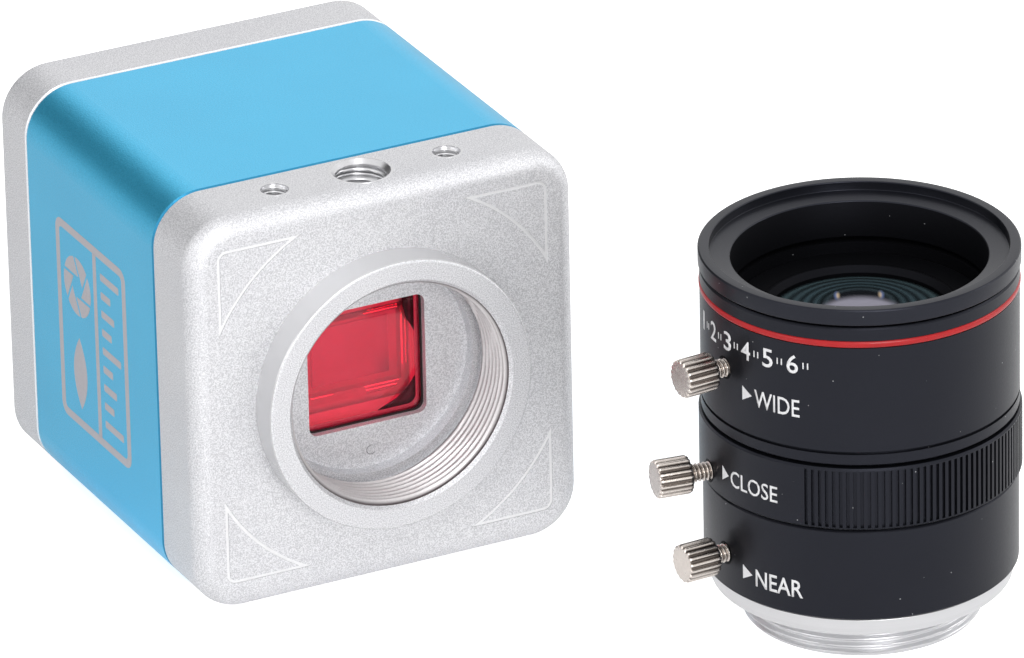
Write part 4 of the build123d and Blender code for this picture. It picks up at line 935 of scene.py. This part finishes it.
# %% Etched panel on the sleeve
def rounded_box(left, bottom, right, top, radius, steps=6):
    """Outline of a box with round corners: a quarter circle about each corner's centre, in turn."""
    quarter = np.linspace(0, np.pi / 2, steps)
    centres = ((right - radius, top - radius, 0), (left + radius, top - radius, 1),
               (left + radius, bottom + radius, 2), (right - radius, bottom + radius, 3))
    return [(x + radius * math.cos(a + k * math.pi / 2), y + radius * math.sin(a + k * math.pi / 2))
            for x, y, k in centres for a in quarter]


def aperture_blades(x, y, radius, hole, gap):
    """Six blade outlines: the hexagon's corner, its side carried on to the rim, the rim's arc to the
    next side's end, and the next corner, all drawn in a little to leave a gap."""
    corners = [hole * np.array([math.cos(k * math.pi / 3), math.sin(k * math.pi / 3)]) for k in range(8)]
    ends = []
    for k in range(7):
        side = (corners[k + 1] - corners[k]) / hole
        along = -corners[k] @ side + math.sqrt((corners[k] @ side) ** 2 - hole**2 + radius**2)
        ends.append(corners[k] + along * side)
    for k in range(6):
        start, stop = (math.atan2(end[1], end[0]) for end in (ends[k], ends[k + 1]))
        arc = np.linspace(start, start + (stop - start) % (2 * math.pi), 8)
        rim = np.stack([radius * np.cos(arc), radius * np.sin(arc)], -1)
        outline = np.concatenate([[corners[k + 1]], rim, [corners[k + 2]]])
        middle = outline.mean(0)
        yield middle + (outline - middle) * (1 - gap) + (x, y)


sheet = bmesh.new()
wide, tall, border = 17.6, 23.2, 0.95
draw_loop(sheet, rounded_box(0, 0, wide, tall, 1.4),
          rounded_box(border, border, wide - border, tall - border, 0.6))
draw_shape(sheet, rounded_box(9.35, 0.9, 10.2, 22.3, 0.05, 2))
for blade in aperture_blades(5.15, 16.6, 3.5, 1.3, 0.13):
    draw_shape(sheet, [tuple(p) for p in blade])
arc = np.linspace(-1, 1, 12)
draw_shape(sheet, [(5.15 + 1.7 * (1 - a * a), 6.4 + 4.2 * a) for a in arc]
           + [(5.15 - 1.7 * (1 - a * a), 6.4 + 4.2 * a) for a in arc[::-1][1:-1]])
bar_left, bar_step = 11.2, 2.15
for k, reach in enumerate((4.6, 2.4, 3.2, 2.4, 4.6, 2.4, 3.2, 2.4, 4.6)):
    rise = k * bar_step
    draw_shape(sheet, rounded_box(bar_left, 2.6 + rise, bar_left + reach, 3.45 + rise, 0.15, 3))
panel_back, panel_foot = 10.1, 10.5


def on_sleeve(x, y):
    """Lays the sheet on the left side of the sleeve, with x running forwards and y up."""
    return np.stack([np.full_like(x, -head_half_width), panel_back - x, panel_foot + y], -1)


etched_metal = plain_finish(
    "etched_bare_aluminium", "#b4b0b5", "#c6c3c7", 0.22, 0.5, 0.65, 0.02, Metallic=0.75)
panel = lay_artwork("side_panel", sheet, on_sleeve, 40.0, 0.015)
dress(panel, "root", "cast_aluminium", etched_metal)
print("panel:", len(panel.data.polygons), "faces")

# %% [markdown]
# Behind the red window the sensor sits in its package. Gold pads run in double rows along the ledge of the
# package: far below a pixel in width, so each is drawn as a dash that is just wide enough to show. Thin dark
# plates at two corners of the filter's frame are painted shade, for the shade that falls there. A white ledge
# laid over the gap beside the package is painted light: it covers the shaded gap and the inner wall of the
# frame. On the floor of the well a stamping tool left a small mark like a C.


# %% Bond pads, painted shade and light behind the filter, and the tool's mark
def pad_row(start, step, count, size, depth):
    """Bond pads as one array, at start + k step. The top of each pad is drawn in and leans by the same two
    slopes: a bonding tool leaves them so, and they all catch the light from one side."""
    unit = np.array([(-1, -1, 0), (1, -1, 0), (1, 1, 0), (-1, 1, 0),
                     (-0.7, -0.7, 1), (0.7, -0.7, 1), (0.7, 0.7, 1), (-0.7, 0.7, 1)], float)
    k = np.arange(count)[:, None, None]
    spots = np.array([*start, 0.0]) + k * np.array([*step, 0.0])
    flat = spots + unit[None] * np.array([size[0] / 2, size[1] / 2, 0.05])
    lean = 0.303 * unit[None, :, 0] * size[0] - 0.411 * unit[None, :, 1] * size[1]
    flat[..., 2] += unit[None, :, 2] * lean / 2
    world = np.stack([flat[..., 0], face_y + depth - flat[..., 2], axis_z + flat[..., 1]], -1)
    faces = np.array([(0, 1, 5, 4), (1, 2, 6, 5), (2, 3, 7, 6), (3, 0, 4, 7), (4, 5, 6, 7), (3, 2, 1, 0)])
    return world.reshape(-1, 3), (faces[None] + 8 * k).reshape(-1, 4)


def solid_from(name, points, faces):
    """A mesh from plain lists of points, in millimetres, and faces, with its faces turned outwards."""
    mesh = bpy.data.meshes.new(name)
    mesh.from_pydata((np.asarray(points, float) * MM).tolist(), [], [tuple(int(v) for v in f) for f in faces])
    work = bmesh.new()
    work.from_mesh(mesh)
    bmesh.ops.recalc_face_normals(work, faces=work.faces)
    work.to_mesh(mesh)
    work.free()
    return add_piece(name, mesh)


def plate_from(name, outlines, front, back):
    """Flat plates between two depths behind the head's face, from outlines of (x, height over the axis)."""
    points, faces = [], []
    for outline in outlines:
        base, count = len(points), len(outline)
        for depth in (front, back):
            points += [(x, face_y + depth, axis_z + z) for x, z in outline]
        faces += [tuple(range(base, base + count)), tuple(range(base + count, base + 2 * count))]
        faces += [(base + k, base + (k + 1) % count, base + count + (k + 1) % count, base + count + k)
                  for k in range(count)]
    return solid_from(name, points, faces)


upright, level, pad_depth = (0.07, 0.2), (0.34, 0.07), 8.29
pad_rows = [((x, -2.35), (0, 0.3), 23, upright) for x in (5.76, 6.2, -5.76, -6.2)]
pad_rows += [(start, (0.46, 0), count, level) for start, count in (
    ((1.45, 4.33), 9), ((1.95, 4.62), 8), ((1.45, -4.2), 9), ((1.6, -4.62), 8), ((-4.9, -4.2), 6))]
pads, quads = [], []
for row in pad_rows:
    points, faces = pad_row(*row, pad_depth)
    quads.append(faces + sum(len(p) for p in pads))
    pads.append(points)
sensor_pads = solid_from("sensor_pads", np.concatenate(pads), np.concatenate(quads))
gold = plain_finish("gold_bond_pads", "#f8e4bc", "#fff2d8", 0.3, 0.16, 0.26, 0.001, Metallic=0.9)
dress(sensor_pads, "root", "ceramic_package", gold)

half = 6.62
# Painted shade: dark plates at two corners of the filter, where shade falls.
corner_shade_plates = plate_from("corner_painted_shade", [
    [(5.3, half), (half, half), (half, 1.7), (6.2, 2.6), (5.75, 3.3), (5.3, 5.2)],
    [(2.1, -half), (4.4, -5.7), (5.8, -4.6), (half, -3.5), (half, -half)]], 6.92, 7.05)
dress(corner_shade_plates, "root", "black_rubber", finishes["black_rubber"])
# Painted light: a white plate over the shaded gap and inner wall beside the package.
ledge = plate_from("filter_ledge_painted_light", [
    [(-half, -half), (half, -half), (half, half), (6.05, half), (6.05, -5.35), (-half, -5.35)]], 7.06, 7.2)
ledge_white_painted_light = plain_finish("ledge_white_painted_light", "#f4f2f0", "#ffffff", 0.4, 0.4, 0.6, 0.004)
dress(ledge, "root", "ceramic_package", ledge_white_painted_light)

mark_radius, mark_steps = 0.52, 40
mark_x, mark_depth, mark_drop = 0.25, 4.9, 9.9
sweep = np.radians(np.linspace(70, 330, mark_steps))[:, None]
thick = (np.sin(np.linspace(0, np.pi, mark_steps)) ** 0.3 * 0.045)[:, None]
tube_angle = full_turn(8)
reach = mark_radius + thick * np.cos(tube_angle)
tool_points = np.stack([
    mark_x + reach * np.cos(sweep), face_y + mark_depth - thick * np.sin(tube_angle) * 0.8,
    axis_z - mark_drop + reach * np.sin(sweep)], -1)
stamped = plain_finish("stamped_line", "#6f7074", "#8b8c90", 0.2, 0.35, 0.5, 0.004, Metallic=0.8)
tool_mark = grid_mesh("tool_mark", tool_points, close_columns=True, sharp=60)
dress(tool_mark, "root", "cast_aluminium", stamped)
print("sensor pads:", len(sensor_pads.data.polygons) // 6)

# %% [markdown]
# The table is a large white sheet. It should come out plain white, yet keep the soft shadows under the two
# things. So it is an ordinary white surface to all light, and to the camera, to mirrors and to glass it
# also glows a little, which lifts it to full white without adding any light to the object. What the head's
# left side mirrors is the table behind it to the left, and the front face mirrors the table before it. The
# glow in a mirror fades from front to back, so that the side comes out a tone darker than the face.

# %% Table
table_half = 2500
table = grid_mesh("table", np.array([[(x, y, table_z) for x in (-table_half, table_half)]
                                     for y in (-table_half, table_half)], float))
if table.data.polygons[0].normal.z < 0:
    table.data.flip_normals()
table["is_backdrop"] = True
table_white, tree, place = new_material("white_table")
ray = add_node(tree, "LightPath")
behind = reckon_vector(tree, "DOT_PRODUCT", place, (-0.6, 0.8, 0))
fade = remap(tree, behind, 0.34, 0.0, -0.01, 0.05, interpolation_type="SMOOTHSTEP")
mirrored = reckon(tree, "MULTIPLY", ray.outputs["Is Glossy Ray"], fade)
direct = reckon(tree, "MAXIMUM", ray.outputs["Is Camera Ray"], ray.outputs["Is Transmission Ray"])
glow = reckon(tree, "ADD", mirrored, reckon(tree, "MULTIPLY", direct, 0.74))
paper = add_node(tree, "BsdfDiffuse", {"Color": srgb("#eeeeee")})
lift = add_node(tree, "Emission", {"Strength": glow})
both = add_node(tree, "AddShader", {0: paper.outputs[0], 1: lift.outputs[0]})
add_node(tree, "OutputMaterial", {"Surface": both.outputs[0]})
table.data.materials.append(table_white)
print("table laid at z =", table_z, "mm")

# %% [markdown]
# A product studio surrounds the object with white and takes light away where an edge needs to show. The
# world is white all round. Behind and to the left, a soft-edged dark card stands in it: the rounded edge of
# the sleeve mirrors that direction, and there the blue deepens. A large soft lamp stands high in front, so
# that the tops get more light than the left side. One low in front reaches into the well, and two small ones
# fill the sides.

# %% World and lamps
world = bpy.data.worlds.new("studio")
bpy.context.scene.world = world
world.use_nodes = True
tree = world.node_tree
tree.nodes.clear()
direction = add_node(tree, "TexCoord").outputs["Generated"]
card = Vector((-0.30, 0.87, 0.30)).normalized()
card_rim, card_core = math.cos(math.radians(32)), math.cos(math.radians(12))
towards = reckon_vector(tree, "DOT_PRODUCT", direction, card)
shade = remap(tree, towards, 1.0, 0.05, card_rim, card_core, interpolation_type="SMOOTHSTEP")
ray = add_node(tree, "LightPath")
dimmed = reckon(tree, "MULTIPLY", mix_values(tree, ray.outputs["Is Glossy Ray"], 0.74, 1.1), shade)
shown = mix_values(tree, ray.outputs["Is Camera Ray"], dimmed, 1.0)
sky = add_node(tree, "Background", {"Color": (1.0, 1.0, 1.0, 1.0), "Strength": shown})
add_node(tree, "OutputWorld", {"Surface": sky.outputs[0]})


def soft_lamp(name, place, aim, width, power):
    """A square lamp of a width in metres, turned so that it shines from its place at a point."""
    lamp = bpy.data.lights.new(name, "AREA")
    lamp.size = width
    lamp.energy = power
    holder = bpy.data.objects.new(name, lamp)
    holder.location = place
    holder.rotation_euler = (Vector(aim) - Vector(place)).to_track_quat("-Z", "Y").to_euler()
    bpy.context.scene.collection.objects.link(holder)


soft_lamp("key_lamp", (-0.16, -0.72, 0.95), (0.01, -0.02, 0.02), 0.45, 2.2)
soft_lamp("front_lamp", (-0.15, -1.1, 0.35), (0.0, -0.02, 0.02), 0.4, 5.1)
soft_lamp("left_lamp", (-0.95, -0.25, 0.35), (0.0, 0.0, 0.02), 0.4, 1.0)
soft_lamp("right_lamp", (0.95, -0.35, 0.45), (0.03, -0.04, 0.02), 0.35, 1.2)
print("world white, one dark card, four lamps")

# %% [markdown]
# The camera was fitted to the edges and rims that can be read off the photograph: how far it turns about
# the object, how high it stands, its slight roll and its distance. Its three directions follow from the
# first three, and they are the columns of its matrix.

# %% Camera
azimuth, elevation, roll = (math.radians(v) for v in (-26.192, 24.883, -1.239))
back = np.array([math.sin(azimuth) * math.cos(elevation), -math.cos(azimuth) * math.cos(elevation),
                 math.sin(elevation)])
right = np.array([math.cos(azimuth), math.sin(azimuth), 0])
up = np.cross(back, right)
right, up = right * math.cos(roll) + up * math.sin(roll), up * math.cos(roll) - right * math.sin(roll)
eye = np.array([0, face_y, axis_z]) + right * 13.126 + up * 5.631 + back * 1160.7
camera_data = bpy.data.cameras.new("photo_camera")
sensor_width, focal_pixels, image_pixels = 36.0, 11037.7, 1024
camera_data.sensor_width = sensor_width
camera_data.lens = focal_pixels / image_pixels * sensor_width
camera_data.clip_end = 20.0
camera = bpy.data.objects.new("photo_camera", camera_data)
camera.matrix_world = Matrix([(*(v[k] for v in (right, up, back)), eye[k] * MM) for k in range(3)]
                             + [(0, 0, 0, 1)])
bpy.context.scene.collection.objects.link(camera)
bpy.context.scene.camera = camera
bpy.context.scene.view_settings.view_transform = "Standard"
print("camera at", [round(v) for v in eye], "mm, lens", round(camera_data.lens), "mm")

# %% [markdown]
# Last, the dressed object is measured against the solids that it stands on, and how far its box grew on each
# side is printed.

# %% Measure and finish
new_low, new_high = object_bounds()
growth = [round((a - b) / MM, 3) for a, b in zip((*cad_low, *new_high), (*new_low, *cad_high))]
print("box grew by, mm:", growth)
